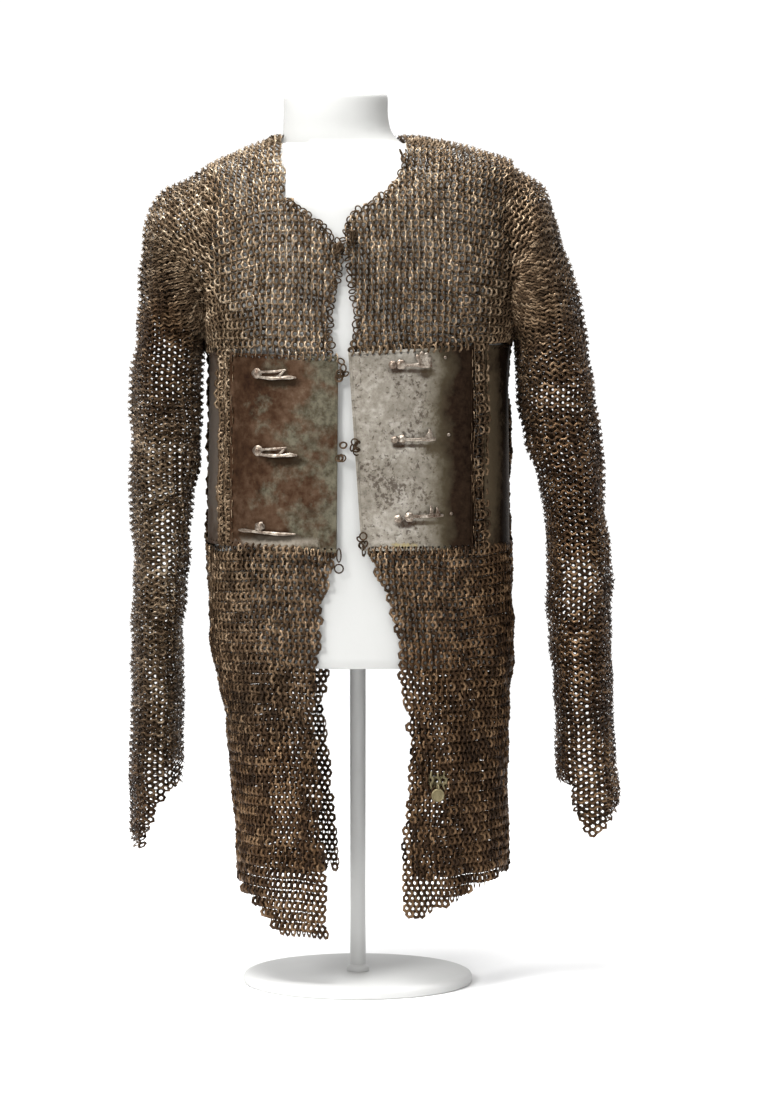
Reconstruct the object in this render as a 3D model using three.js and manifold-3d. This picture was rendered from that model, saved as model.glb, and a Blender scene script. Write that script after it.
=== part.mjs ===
// A mail and plate hauberk, open down the front, worn by a limbless dress form on a pole and a round base.
// Millimetres. X runs to the viewer's right, the front faces -Y, and Z is up from the floor.
// Left and right are the wearer's, so the right half of the garment lies at -X.

import * as THREE from 'three';
import { mergeVertices } from 'three/addons/utils/BufferGeometryUtils.js';
import Module from 'manifold-3d';

const wasm = await Module();
wasm.setup();

// Driving sizes
const MAIL_WALL = 3;
const PLATE_WALL = 2;
const SEAM_GAP = 0.3;
const HALF_GAP = SEAM_GAP / 2;
const SEAM_Y = 6;
const REACH_Y = 220;
const TORSO_SIDES = 40;
const SLEEVE_SIDES = 20;
const ROUND_SIDES = 48;
const SMALL_SIDES = 24;
const DOME_SIDES = 16;
const TORSO_ROUND = 2.3;
const SLEEVE_ROUND = 2.1;
const WAIST_Z = 505;
const FORM_BOTTOM_Z = 373;
const SHOULDER_START_Z = 870;
const SHOULDER_FULL_Z = 925;
const FORM_SIDE_GAP = 8;
const NECK_BASE_Z = 966;
const FORM_ARM_RIGHT = -168;
const FORM_ARM_LEFT = 170;
const POLE_RADIUS = 9;
const BASE_RADIUS = 132;
const BASE_HEIGHT = 12;
const BASE_RIM_HEIGHT = 7.2;
const BASE_BEVEL = 6;
const FOLD_START = 90;
const SLOPE_REACH = 4;
const SAME_POINT = 1e-4;

// Limits of the pieces in the front view
const TOP = 1000;
const FAR = 400;
const ARMPIT_RIGHT = -173.9;
const ARMPIT_LEFT = 177.3;
const YOKE_SIDE_Z = 741;
const BACK_SIDE_Z = 600;
const BACK_WAIST_RIGHT = -176;
const BACK_WAIST_LEFT = 185;
const SLEEVE_SEAM_END_Z = 300;
const SKIRT_RIGHT = -184;
const SKIRT_LEFT = 200;

function table(columns, rows) {
  return rows.map((row) => Object.fromEntries(columns.map((name, i) => [name, row[i]])));
}

// Horizontal sections of the body: side limits, and depth in front of and behind the plane y = 0
const TORSO = table(['z', 'right', 'left', 'front', 'back'], [
  [50, -137, 172, 112, 117],
  [130, -138, 172.5, 112, 118],
  [235, -144, 171.5, 113, 118],
  [327, -154, 173, 115, 118],
  [385, -165, 178, 117, 118],
  [440, -170, 177, 116, 117],
  [500, -172.5, 175, 115, 117],
  [600, -171.5, 174, 117, 118],
  [700, -170.5, 173, 118, 119],
  [735, -172, 175, 118, 119],
  [752, -177, 180, 117, 119],
  [775, -186, 185, 116, 119],
  [811, -198, 191, 113, 117],
  [857, -206, 198, 108, 114],
  [892, -208, 203, 102, 110],
  [909, -206, 203, 96, 105],
  [926, -190, 200, 87, 97],
  [944, -165, 172, 76, 86],
  [961, -119, 121, 62, 73],
  [972, -96, 74, 48, 60],
]);

// Soft folds of the body, as ridges that stand out: place across the front or back, and their spread
const TORSO_FOLDS = table(['side', 'x', 'width', 'height', 'top', 'bottom'], [
  [-1, -112, 16, 4, 470, 60],
  [-1, -72, 14, -3, 440, 60],
  [-1, 92, 18, 4, 470, 60],
  [-1, 134, 13, -4, 480, 60],
  [-1, 158, 11, 3, 450, 60],
  [1, -120, 18, 4, 480, 60],
  [1, -76, 15, -4, 440, 60],
  [1, 98, 16, 5, 470, 60],
  [1, 140, 14, -4, 460, 60],
  [1, -30, 22, -5, 860, 540],
  [1, 40, 24, 4, 820, 520],
  [-1, -120, 16, 3, 900, 745],
  [-1, 118, 16, 3, 900, 745],
]);

// Sections of each sleeve from shoulder to wrist: the point beside the body, the outer point and the depths
const SLEEVE_COLUMNS = ['inX', 'inZ', 'outX', 'outZ', 'front', 'back'];
const RIGHT_SLEEVE = table(SLEEVE_COLUMNS, [
  [-148, 772, -150, 948, 70, 76],
  [-162, 764, -170, 940, 71, 77],
  [-167, 757, -194, 926, 72, 78],
  [-168, 755, -224, 909, 72, 78],
  [-169, 753, -237, 890, 70, 76],
  [-170, 751, -244, 857, 67, 73],
  [-171, 749, -247, 822, 65, 70],
  [-173, 745, -250, 788, 63, 67],
  [-176, 735, -254, 740, 61, 64],
  [-178, 700, -258, 700, 60, 62],
  [-179, 667, -261, 667, 59, 60],
  [-182, 615, -261, 615, 57, 58],
  [-188, 570, -260, 570, 55, 56],
  [-192, 525, -259, 525, 54, 54],
  [-197, 470, -257, 470, 52, 52],
  [-200, 425, -258, 425, 51, 50],
  [-202, 370, -260, 370, 50, 49],
  [-202, 310, -260, 310, 50, 48],
  [-202, 260, -262, 260, 50, 48],
  [-203, 210, -262, 210, 49, 48],
  [-204, 140, -262, 140, 49, 48],
]);
const LEFT_SLEEVE = table(SLEEVE_COLUMNS, [
  [148, 772, 150, 948, 70, 76],
  [162, 764, 172, 940, 71, 77],
  [168, 757, 204, 924, 72, 78],
  [169, 755, 217, 908, 72, 78],
  [170, 753, 226, 878, 70, 76],
  [172, 751, 239, 840, 67, 73],
  [174, 749, 246, 818, 65, 70],
  [177, 745, 254, 787, 63, 67],
  [180, 735, 262, 740, 61, 64],
  [182, 700, 270, 700, 60, 62],
  [184, 667, 274, 667, 59, 60],
  [193, 626, 279, 626, 57, 58],
  [208, 585, 283, 585, 56, 56],
  [215, 545, 285, 545, 55, 54],
  [217, 490, 290, 490, 53, 52],
  [218, 440, 292, 440, 52, 50],
  [221, 400, 292, 400, 51, 49],
  [225, 350, 292, 350, 50, 48],
  [228, 305, 294, 305, 50, 48],
  [229, 260, 298, 260, 50, 48],
  [231, 210, 301, 210, 49, 48],
  [233, 140, 301, 140, 49, 48],
]);

// Soft ridges round a sleeve: height on the arm, turn from the outer side towards the back, and spread
const SLEEVE_FOLDS = table(['z', 'turn', 'tall', 'wide', 'height'], [
  [700, 230, 60, 30, 3],
  [640, 290, 26, 55, -4],
  [610, 250, 24, 55, 3],
  [540, 280, 80, 26, -3],
  [470, 60, 90, 28, 3],
  [600, 80, 60, 40, -3],
  [330, 262, 90, 24, 3],
  [300, 110, 90, 26, -3],
]);

// Edges and seams in the front view, each from top to bottom
const EDGE_COLUMNS = ['x', 'z'];
const RIGHT_NECKLINE = table(EDGE_COLUMNS, [
  [-88, 1000], [-86, 940], [-82, 903], [-66, 889], [-38, 871], [-20, 849],
  [-18, 829], [-27, 803], [-32, 765], [-30, 731],
]);
const LEFT_NECKLINE = table(EDGE_COLUMNS, [
  [57, 1000], [51, 957], [53, 940], [49, 923], [30, 905], [3, 889], [-10, 872],
  [-14, 858], [-12, 844], [-6, 805], [0, 772], [0, 755], [-6, 739],
]);
const RIGHT_ARMHOLE = table(EDGE_COLUMNS, [
  [-172, 1000], [-172, 762], [-174, 742], [-174.2, 640], [-180, 560], [-180, 40],
]);
const LEFT_ARMHOLE = table(EDGE_COLUMNS, [
  [175, 1000], [175, 762], [177.5, 742], [177.5, 640], [190, 560], [190, 40],
]);
const RIGHT_SKIRT_EDGE = table(EDGE_COLUMNS, [
  [-24, 505], [-34, 468], [-41, 445], [-47, 380], [-51, 316], [-44, 225], [-40, 150], [-37, 71],
]);
const RIGHT_FRONT_HEM = table(EDGE_COLUMNS, [[-65, 69], [-90, 73], [-110, 92], [-138, 128], [-184, 132]]);
const LEFT_SKIRT_EDGE = table(EDGE_COLUMNS, [
  [8, 505], [23, 485], [35, 452], [47, 396], [54, 339], [61, 299], [62, 265], [56, 210], [53, 157], [53, 94],
]);
const LEFT_FRONT_HEM = table(EDGE_COLUMNS, [[71, 96], [93, 105], [139, 121], [172, 138], [200, 140]]);
const RIGHT_VENT_EDGE = table(EDGE_COLUMNS, [
  [12, 505], [4, 450], [-22, 395], [-36, 350], [-43, 305], [-38, 261], [-30, 195], [-22, 112],
]);
const RIGHT_BACK_HEM = table(EDGE_COLUMNS, [[-34, 122], [-60, 112], [-100, 118], [-184, 130]]);
const LEFT_VENT_EDGE = table(EDGE_COLUMNS, [
  [12, 505], [18, 450], [44, 395], [60, 350], [66, 300], [64, 200], [62, 108],
]);
const LEFT_BACK_HEM = table(EDGE_COLUMNS, [[80, 104], [120, 116], [200, 136]]);
const RIGHT_CUFF = table(EDGE_COLUMNS, [
  [-190, 236], [-205, 232], [-218, 218], [-233, 201], [-240, 183], [-247, 163], [-256, 163], [-280, 200],
  [-FAR, 200],
]);
const RIGHT_CUFF_NOTCH = table(EDGE_COLUMNS, [
  [-190, 264], [-214, 258], [-230, 232], [-238, 190], [-190, 140],
]);
const LEFT_CUFF = table(EDGE_COLUMNS, [
  [210, 237], [247, 237], [251, 212], [258, 185], [265, 174], [271, 174], [294, 200], [320, 222],
  [FAR, 222],
]);

// Corners of the plates in the front view, and of the mail above them beside the opening
const RIGHT_PLATE = {
  edgeTop: -21, edgeBottom: -23, outer: -144.5, topZ: 729, topEdgeZ: 725, bottomEdgeZ: 505, bottomOuterZ: 510,
};
const LEFT_PLATE = {
  edgeTop: -10, edgeBottom: 5, outer: 132, topZ: 737, topEdgeZ: 730, bottomEdgeZ: 507, bottomOuterZ: 507,
};
const RIGHT_YOKE_CORNER = { x: -30, z: 729 };
const LEFT_YOKE_CORNER = { x: 0, z: 732 };
const RIGHT_SIDE_PLATE_X = -154;
const LEFT_SIDE_PLATE_X = 144;

// Clasps on the plates: the place of the domed end, the reach of the arm and the leaf at its tip
const CLASPS = table(['name', 'x', 'z', 'arm', 'leaf', 'second'], [
  ['clasp_right_upper', -112, 706, 44, 0, 0],
  ['clasp_right_middle', -111, 619, 46, 0, 0],
  ['clasp_right_lower', -109, 533, 46, 0, 0],
  ['clasp_left_upper', 40, 716, 44, 9, 10],
  ['clasp_left_middle', 42, 632, 42, 7, 9],
  ['clasp_left_lower', 46, 543, 42, 7, 12],
]);
const CLASP_TAIL = 3;
const STRAP = { steps: 8, width: 6, thickness: 3, lift: 0.5, endShare: 0.12, endWidth: 0.55, crown: 0.6 };
const DOME_LIFT = 1.1;
const DOME_RADIUS = 6;
const SECOND_DOME_RADIUS = 4.8;
const DOME_PROFILE = table(['radius', 'height'], [
  [0, 0], [1, 0], [0.95, 0.35], [0.72, 0.75], [0.38, 1], [0, 1.08],
]);
const LEAF = { fromTip: 7, down: 1, thickness: 2, lift: 1.3 };
const LEAF_OUTLINE = table(['x', 'z'], [[-0.35, 0], [-0.9, 1.1], [0, 1.5], [0.9, 1.1], [0.35, 0]]);

// The form's neck, from its foot to its flat top
const FORM_NECK = table(['z', 'x', 'halfX', 'front', 'back'], [
  [NECK_BASE_Z, -18, 69, 54, 58],
  [974, -22, 64, 54, 58],
  [984, -24, 61, 54, 58],
  [1000, -25, 59.5, 55, 58],
  [1019, -25, 59.5, 55, 58],
  [1022, -25, 57, 52, 55],
]);
const NECK_HOLE = { x: -16, y: 2, halfX: 71.5, halfY: 66, height: 200 };

const SEAL = { x: 90, z: 230, radius: 7.5, thickness: 2, lift: -0.1 };

// A number from one column at a height, along a smooth curve through the rows
function curveAt(rows, along, column, value) {
  const last = rows.length - 1;
  const clamped = Math.min(Math.max(value, rows[0][along]), rows[last][along]);
  let i = 0;
  while (i < last - 1 && rows[i + 1][along] < clamped) i += 1;
  const slope = (k) => {
    const a = rows[Math.max(k - 1, 0)];
    const b = rows[Math.min(k + 1, last)];
    return (b[column] - a[column]) / (b[along] - a[along]);
  };
  const span = rows[i + 1][along] - rows[i][along];
  const t = (clamped - rows[i][along]) / span;
  const rise = t * t * (3 - 2 * t);
  return rows[i][column] * (1 - rise) + rows[i + 1][column] * rise
    + span * (slope(i) * t * (1 - t) ** 2 - slope(i + 1) * t * t * (1 - t));
}

function smoothStep(low, high, value) {
  const t = Math.min(Math.max((value - low) / (high - low), 0), 1);
  return t * t * (3 - 2 * t);
}

function bodyFold(side, x, z) {
  let height = 0;
  for (const fold of TORSO_FOLDS) {
    if (fold.side !== side || z < fold.bottom) continue;
    const down = smoothStep(fold.top, fold.top - FOLD_START, z);
    height += fold.height * down * Math.exp(-(((x - fold.x) / fold.width) ** 2));
  }
  return height;
}

// One horizontal section of the body, inset on all sides; heights near the shoulders sink by the drop
function bodySection(z, inset, drop, limitRight = -Infinity, limitLeft = Infinity) {
  const right = Math.max(curveAt(TORSO, 'z', 'right', z) + inset, limitRight);
  const left = Math.min(curveAt(TORSO, 'z', 'left', z) - inset, limitLeft);
  const front = curveAt(TORSO, 'z', 'front', z) - inset;
  const back = curveAt(TORSO, 'z', 'back', z) - inset;
  const sunk = z - drop * smoothStep(SHOULDER_START_Z, SHOULDER_FULL_Z, z);
  const points = [];
  for (let i = 0; i < TORSO_SIDES; i += 1) {
    const turn = (2 * Math.PI * (i + 0.5)) / TORSO_SIDES;
    const c = Math.cos(turn);
    const s = Math.sin(turn);
    const x = (left + right) / 2 + ((left - right) / 2) * Math.sign(c) * Math.abs(c) ** (2 / TORSO_ROUND);
    const side = s < 0 ? -1 : 1;
    const depth = (s < 0 ? front : back) * Math.abs(s) ** (2 / TORSO_ROUND);
    points.push([x, side * (depth + bodyFold(side, x, z) * Math.abs(s)), sunk]);
  }
  return points;
}

// Depth of the body's outer face at a point of the front view
function frontFace(x, z) {
  const right = curveAt(TORSO, 'z', 'right', z);
  const left = curveAt(TORSO, 'z', 'left', z);
  const u = Math.min(Math.abs((2 * x - left - right) / (left - right)), 1);
  const share = (1 - u ** TORSO_ROUND) ** (1 / TORSO_ROUND);
  return -(curveAt(TORSO, 'z', 'front', z) * share + bodyFold(-1, x, z) * share ** (TORSO_ROUND / 2));
}

// A shape made at the origin, its back on y = 0, is turned with the front face and set on it
function seatOnFront(geometry, x, z, lift) {
  const slope = (frontFace(x + SLOPE_REACH, z) - frontFace(x - SLOPE_REACH, z)) / (2 * SLOPE_REACH);
  geometry.rotateZ(Math.atan(slope));
  return geometry.translate(x, frontFace(x, z) - lift, z);
}

// The smaller angle between two turns, in degrees
function turnApart(a, b) {
  return Math.abs((a - b + 540) % 360 - 180);
}

function sleeveSection(row, inset) {
  const reach = Math.hypot(row.outX - row.inX, row.outZ - row.inZ);
  const dirX = (row.outX - row.inX) / reach;
  const dirZ = (row.outZ - row.inZ) / reach;
  const points = [];
  for (let i = 0; i < SLEEVE_SIDES; i += 1) {
    const turn = (2 * Math.PI * i) / SLEEVE_SIDES;
    const c = Math.cos(turn);
    const s = Math.sin(turn);
    let bulge = 0;
    for (const fold of SLEEVE_FOLDS) {
      const round = turnApart(THREE.MathUtils.radToDeg(turn), fold.turn) / fold.wide;
      bulge += fold.height * Math.exp(-(round ** 2) - ((row.outZ - fold.z) / fold.tall) ** 2);
    }
    const along = reach / 2 + (reach / 2 - inset + bulge) * Math.sign(c) * Math.abs(c) ** (2 / SLEEVE_ROUND);
    const depth = (s < 0 ? row.front : row.back) - inset + bulge;
    const y = depth * Math.sign(s) * Math.abs(s) ** (2 / SLEEVE_ROUND);
    points.push([row.inX + dirX * along, y, row.inZ + dirZ * along]);
  }
  return points;
}

// A closed skin over rings of points, with its ends closed by fans
function loft(rings) {
  const sides = rings[0].length;
  const points = rings.flat();
  const middle = (ring) => [0, 1, 2].map((k) => ring.reduce((sum, p) => sum + p[k], 0) / sides);
  const first = points.push(middle(rings[0])) - 1;
  const last = points.push(middle(rings[rings.length - 1])) - 1;
  let faces = [];
  for (let r = 0; r < rings.length - 1; r += 1) {
    for (let i = 0; i < sides; i += 1) {
      const a = r * sides + i;
      const b = r * sides + ((i + 1) % sides);
      faces.push([a, b, b + sides], [a, b + sides, a + sides]);
    }
  }
  for (let i = 0; i < sides; i += 1) {
    const next = (i + 1) % sides;
    const top = (rings.length - 1) * sides;
    faces.push([first, next, i], [last, top + i, top + next]);
  }
  const volume = faces.reduce((sum, [a, b, c]) => {
    const cross = new THREE.Vector3(...points[b]).cross(new THREE.Vector3(...points[c]));
    return sum + new THREE.Vector3(...points[a]).dot(cross);
  }, 0);
  if (volume < 0) faces = faces.map(([a, b, c]) => [a, c, b]);
  const geometry = new THREE.BufferGeometry();
  geometry.setAttribute('position', new THREE.Float32BufferAttribute(points.flat(), 3));
  geometry.setIndex(faces.flat());
  return geometry;
}

function solidOf(geometry) {
  const bare = geometry.clone();
  bare.deleteAttribute('normal');
  bare.deleteAttribute('uv');
  const merged = mergeVertices(bare, SAME_POINT);
  return new wasm.Manifold(new wasm.Mesh({
    numProp: 3,
    vertProperties: new Float32Array(merged.attributes.position.array),
    triVerts: new Uint32Array(merged.index.array),
  }));
}

function geometryOf(solid) {
  const mesh = solid.getMesh();
  const geometry = new THREE.BufferGeometry();
  geometry.setAttribute('position', new THREE.Float32BufferAttribute(mesh.vertProperties, 3));
  geometry.setIndex(Array.from(mesh.triVerts));
  return geometry;
}

// An outline of the front view drawn out through the depth between two planes
function prism(outline, yLow, yHigh) {
  const shape = new THREE.Shape(outline.map((p) => new THREE.Vector2(p.x, p.z)));
  const geometry = new THREE.ExtrudeGeometry(shape, { depth: yHigh - yLow, bevelEnabled: false });
  geometry.rotateX(Math.PI / 2);
  geometry.translate(0, yHigh, 0);
  return solidOf(geometry);
}

const shift = (line, dx, dz = 0) => line.map((p) => ({ x: p.x + dx, z: p.z + dz }));
const upward = (line) => [...line].reverse();
const between = (line, high, low) => line.filter((p) => p.z <= high && p.z >= low);
const front = (outline) => prism(outline, -REACH_Y, SEAM_Y - HALF_GAP);
const back = (outline) => prism(outline, SEAM_Y + HALF_GAP, REACH_Y);

function bodySkin(inset, drop) {
  const heights = TORSO.map((row) => row.z);
  return solidOf(loft(heights.map((z) => bodySection(z, inset, drop))));
}

function sleeveSkin(rows, inset) {
  return solidOf(loft(rows.map((row) => sleeveSection(row, inset))));
}

function neckHole() {
  const geometry = new THREE.CylinderGeometry(1, 1, NECK_HOLE.height, ROUND_SIDES);
  geometry.rotateX(Math.PI / 2);
  geometry.scale(NECK_HOLE.halfX, NECK_HOLE.halfY, 1);
  return solidOf(geometry.translate(NECK_HOLE.x, NECK_HOLE.y, TOP));
}

// The whole mail wall: body and sleeves joined outside and hollowed together
const outerBody = bodySkin(0, 0);
const outerMail = outerBody.add(sleeveSkin(RIGHT_SLEEVE, 0)).add(sleeveSkin(LEFT_SLEEVE, 0));
const innerMail = bodySkin(MAIL_WALL, MAIL_WALL)
  .add(sleeveSkin(RIGHT_SLEEVE, MAIL_WALL)).add(sleeveSkin(LEFT_SLEEVE, MAIL_WALL));
const mailWall = outerMail.subtract(innerMail).subtract(neckHole());
const plateWall = outerBody.subtract(bodySkin(PLATE_WALL, PLATE_WALL));

const MATERIALS = {
  mail: new THREE.MeshStandardMaterial({ color: 0x4b3d33, roughness: 0.6, metalness: 0.7 }),
  russetPlate: new THREE.MeshStandardMaterial({ color: 0x5e463a, roughness: 0.6, metalness: 0.7 }),
  greyPlate: new THREE.MeshStandardMaterial({ color: 0x8d8a84, roughness: 0.45, metalness: 0.8 }),
  clasp: new THREE.MeshStandardMaterial({ color: 0x9a968e, roughness: 0.4, metalness: 0.85 }),
  seal: new THREE.MeshStandardMaterial({ color: 0xa98f55, roughness: 0.5, metalness: 0.8 }),
  form: new THREE.MeshStandardMaterial({ color: 0xeeeeec, roughness: 0.7, metalness: 0 }),
  stand: new THREE.MeshStandardMaterial({ color: 0xe6e6e4, roughness: 0.5, metalness: 0 }),
};

const hauberk = new THREE.Group();

function addPiece(name, geometry, material) {
  const mesh = new THREE.Mesh(geometry, material);
  mesh.name = name;
  hauberk.add(mesh);
}

function addMail(name, cutter) {
  addPiece(name, geometryOf(mailWall.intersect(cutter)), MATERIALS.mail);
}

function addYokes() {
  addMail('yoke_front_right', front([
    ...shift(between(RIGHT_NECKLINE, TOP, 0), -HALF_GAP),
    RIGHT_YOKE_CORNER, { x: RIGHT_PLATE.outer, z: RIGHT_PLATE.topZ + SEAM_GAP },
    { x: ARMPIT_RIGHT, z: RIGHT_PLATE.topZ + SEAM_GAP },
    ...upward(shift(between(RIGHT_ARMHOLE, TOP, YOKE_SIDE_Z), HALF_GAP)),
  ]));
  addMail('yoke_front_left', front([
    ...shift(between(LEFT_NECKLINE, TOP, 0), HALF_GAP),
    LEFT_YOKE_CORNER, { x: LEFT_PLATE.outer, z: LEFT_PLATE.topZ + SEAM_GAP },
    { x: ARMPIT_LEFT, z: LEFT_PLATE.topZ + SEAM_GAP },
    ...upward(shift(between(LEFT_ARMHOLE, TOP, YOKE_SIDE_Z), -HALF_GAP)),
  ]));
}

function addBack() {
  addMail('back_body', back([
    ...shift(between(RIGHT_ARMHOLE, TOP, BACK_SIDE_Z), HALF_GAP),
    { x: BACK_WAIST_RIGHT, z: WAIST_Z + HALF_GAP }, { x: BACK_WAIST_LEFT, z: WAIST_Z + HALF_GAP },
    ...upward(shift(between(LEFT_ARMHOLE, TOP, BACK_SIDE_Z), -HALF_GAP)),
  ]));
}

function addSleeves() {
  const rightOutline = [
    ...shift(between(RIGHT_ARMHOLE, TOP, SLEEVE_SEAM_END_Z), -HALF_GAP), ...RIGHT_CUFF, { x: -FAR, z: TOP },
  ];
  const notch = prism(RIGHT_CUFF_NOTCH, -REACH_Y, 0);
  addMail('sleeve_right', prism(rightOutline, -REACH_Y, REACH_Y).subtract(notch));
  const leftOutline = [
    ...shift(between(LEFT_ARMHOLE, TOP, SLEEVE_SEAM_END_Z), HALF_GAP), ...LEFT_CUFF, { x: FAR, z: TOP },
  ];
  addMail('sleeve_left', prism(leftOutline, -REACH_Y, REACH_Y));
}

function addSkirts() {
  const rightTop = RIGHT_PLATE.bottomOuterZ - HALF_GAP;
  const leftTop = LEFT_PLATE.bottomOuterZ - HALF_GAP;
  addMail('skirt_front_right', front([
    { x: SKIRT_RIGHT, z: rightTop }, { x: RIGHT_PLATE.outer, z: rightTop },
    ...shift(RIGHT_SKIRT_EDGE, 0, -HALF_GAP), ...RIGHT_FRONT_HEM,
  ]));
  addMail('skirt_front_left', front([
    { x: SKIRT_LEFT, z: leftTop }, { x: LEFT_PLATE.outer, z: leftTop },
    ...shift(LEFT_SKIRT_EDGE, 0, -HALF_GAP), ...LEFT_FRONT_HEM,
  ]));
  addMail('skirt_back_right', back([
    { x: SKIRT_RIGHT, z: WAIST_Z - HALF_GAP },
    ...shift(RIGHT_VENT_EDGE, -HALF_GAP, -HALF_GAP), ...RIGHT_BACK_HEM,
  ]));
  addMail('skirt_back_left', back([
    { x: SKIRT_LEFT, z: WAIST_Z - HALF_GAP },
    ...shift(LEFT_VENT_EDGE, HALF_GAP, -HALF_GAP), ...LEFT_BACK_HEM,
  ]));
}

function plateOutline(plate) {
  return [
    { x: plate.edgeTop, z: plate.topEdgeZ },
    { x: plate.outer, z: plate.topZ },
    { x: plate.outer, z: plate.bottomOuterZ + SEAM_GAP },
    { x: plate.edgeBottom, z: plate.bottomEdgeZ + SEAM_GAP },
  ];
}

// An upright band between two places, as high as the plate beside it
function bandOutline(plate, xLow, xHigh) {
  const low = plate.bottomOuterZ + SEAM_GAP;
  return [
    { x: xLow, z: low }, { x: xHigh, z: low }, { x: xHigh, z: plate.topZ }, { x: xLow, z: plate.topZ },
  ];
}

function addPlates() {
  const cut = (outline) => geometryOf(plateWall.intersect(front(outline)));
  const rightBand = (xLow, xHigh) => bandOutline(RIGHT_PLATE, xLow, xHigh);
  const leftBand = (xLow, xHigh) => bandOutline(LEFT_PLATE, xLow, xHigh);
  addPiece('plate_front_right', cut(plateOutline(RIGHT_PLATE)), MATERIALS.russetPlate);
  addPiece('plate_front_left', cut(plateOutline(LEFT_PLATE)), MATERIALS.greyPlate);
  addPiece('plate_side_right', cut(rightBand(-FAR, RIGHT_SIDE_PLATE_X)), MATERIALS.russetPlate);
  addPiece('plate_side_left', cut(leftBand(LEFT_SIDE_PLATE_X, FAR)), MATERIALS.greyPlate);
  addMail('strip_right', front(rightBand(RIGHT_SIDE_PLATE_X + SEAM_GAP, RIGHT_PLATE.outer - SEAM_GAP)));
  addMail('strip_left', front(leftBand(LEFT_PLATE.outer + SEAM_GAP, LEFT_SIDE_PLATE_X - SEAM_GAP)));
}

// A strip that follows the front face, moved out from it, between two places on the front view
function strapSolid(xLow, xHigh, z) {
  const rings = [];
  for (let i = 0; i <= STRAP.steps; i += 1) {
    const share = i / STRAP.steps;
    const x = xLow + (xHigh - xLow) * share;
    const fullness = Math.sin(Math.PI * (STRAP.endShare + (1 - 2 * STRAP.endShare) * share));
    const half = (STRAP.width / 2) * (STRAP.endWidth + (1 - STRAP.endWidth) * fullness);
    const crown = half * STRAP.crown;
    const under = frontFace(x, z) - STRAP.lift;
    const over = under - STRAP.thickness;
    rings.push([[x, under, z - half], [x, under, z + half], [x, over, z + crown], [x, over, z - crown]]);
  }
  return solidOf(loft(rings));
}

function domeSolid(x, z, radius) {
  const profile = DOME_PROFILE.map((p) => new THREE.Vector2(p.radius * radius, p.height * radius));
  const geometry = new THREE.LatheGeometry(profile, DOME_SIDES);
  geometry.rotateX(Math.PI);
  return solidOf(seatOnFront(geometry, x, z, DOME_LIFT));
}

function leafSolid(x, z, size) {
  const shape = new THREE.Shape(LEAF_OUTLINE.map((p) => new THREE.Vector2(p.x * size, p.z * size)));
  const geometry = new THREE.ExtrudeGeometry(shape, { depth: LEAF.thickness, bevelEnabled: false });
  geometry.rotateX(Math.PI / 2);
  return solidOf(seatOnFront(geometry, x, z, LEAF.lift));
}

function addClasps() {
  for (const clasp of CLASPS) {
    const tip = clasp.x + clasp.arm;
    let solid = strapSolid(clasp.x - CLASP_TAIL, tip, clasp.z).add(domeSolid(clasp.x, clasp.z, DOME_RADIUS));
    if (clasp.second > 0) solid = solid.add(domeSolid(clasp.x + clasp.second, clasp.z, SECOND_DOME_RADIUS));
    if (clasp.leaf > 0) solid = solid.add(leafSolid(tip - LEAF.fromTip, clasp.z - LEAF.down, clasp.leaf));
    addPiece(clasp.name, geometryOf(solid), MATERIALS.clasp);
  }
}

function addSeal() {
  const geometry = new THREE.CylinderGeometry(SEAL.radius, SEAL.radius, SEAL.thickness, SMALL_SIDES);
  geometry.translate(0, -SEAL.thickness / 2, 0);
  addPiece('brass_seal', seatOnFront(geometry, SEAL.x, SEAL.z, SEAL.lift), MATERIALS.seal);
}

// The limbless form: the body's own sections, closer at the shoulders, then the neck
function addDressForm() {
  const rings = [];
  for (const row of TORSO.filter((r) => r.z > FORM_BOTTOM_Z && r.z < NECK_BASE_Z)) {
    const snug = smoothStep(SHOULDER_START_Z, SHOULDER_FULL_Z, row.z);
    const inset = FORM_SIDE_GAP + (MAIL_WALL + SEAM_GAP - FORM_SIDE_GAP) * snug;
    rings.push(bodySection(row.z, inset, MAIL_WALL + 2 * SEAM_GAP, FORM_ARM_RIGHT, FORM_ARM_LEFT));
  }
  rings.unshift(bodySection(FORM_BOTTOM_Z, FORM_SIDE_GAP, 0));
  for (const row of FORM_NECK) {
    rings.push(Array.from({ length: TORSO_SIDES }, (_, i) => {
      const turn = (2 * Math.PI * (i + 0.5)) / TORSO_SIDES;
      const depth = Math.sin(turn) < 0 ? row.front : row.back;
      return [row.x + row.halfX * Math.cos(turn), depth * Math.sin(turn), row.z];
    }));
  }
  addPiece('dress_form', loft(rings), MATERIALS.form);
}

function addStand() {
  const base = new THREE.LatheGeometry([
    new THREE.Vector2(0, 0),
    new THREE.Vector2(BASE_RADIUS, 0),
    new THREE.Vector2(BASE_RADIUS, BASE_RIM_HEIGHT),
    new THREE.Vector2(BASE_RADIUS - BASE_BEVEL, BASE_HEIGHT),
    new THREE.Vector2(0, BASE_HEIGHT),
  ], ROUND_SIDES);
  base.rotateX(Math.PI / 2);
  addPiece('stand_base', base, MATERIALS.stand);
  const low = BASE_HEIGHT + SEAM_GAP;
  const high = FORM_BOTTOM_Z - SEAM_GAP;
  const pole = new THREE.CylinderGeometry(POLE_RADIUS, POLE_RADIUS, high - low, SMALL_SIDES);
  pole.rotateX(Math.PI / 2);
  pole.translate(0, 0, (low + high) / 2);
  addPiece('stand_pole', pole, MATERIALS.stand);
}

addDressForm();
addStand();
addYokes();
addBack();
addSleeves();
addSkirts();
addPlates();
addClasps();
addSeal();

// The origin lies on the floor under the middle of the whole object
const whole = new THREE.Box3().setFromObject(hauberk);
hauberk.position.set(-(whole.min.x + whole.max.x) / 2, -(whole.min.y + whole.max.y) / 2, 0);

export default hauberk;
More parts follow.
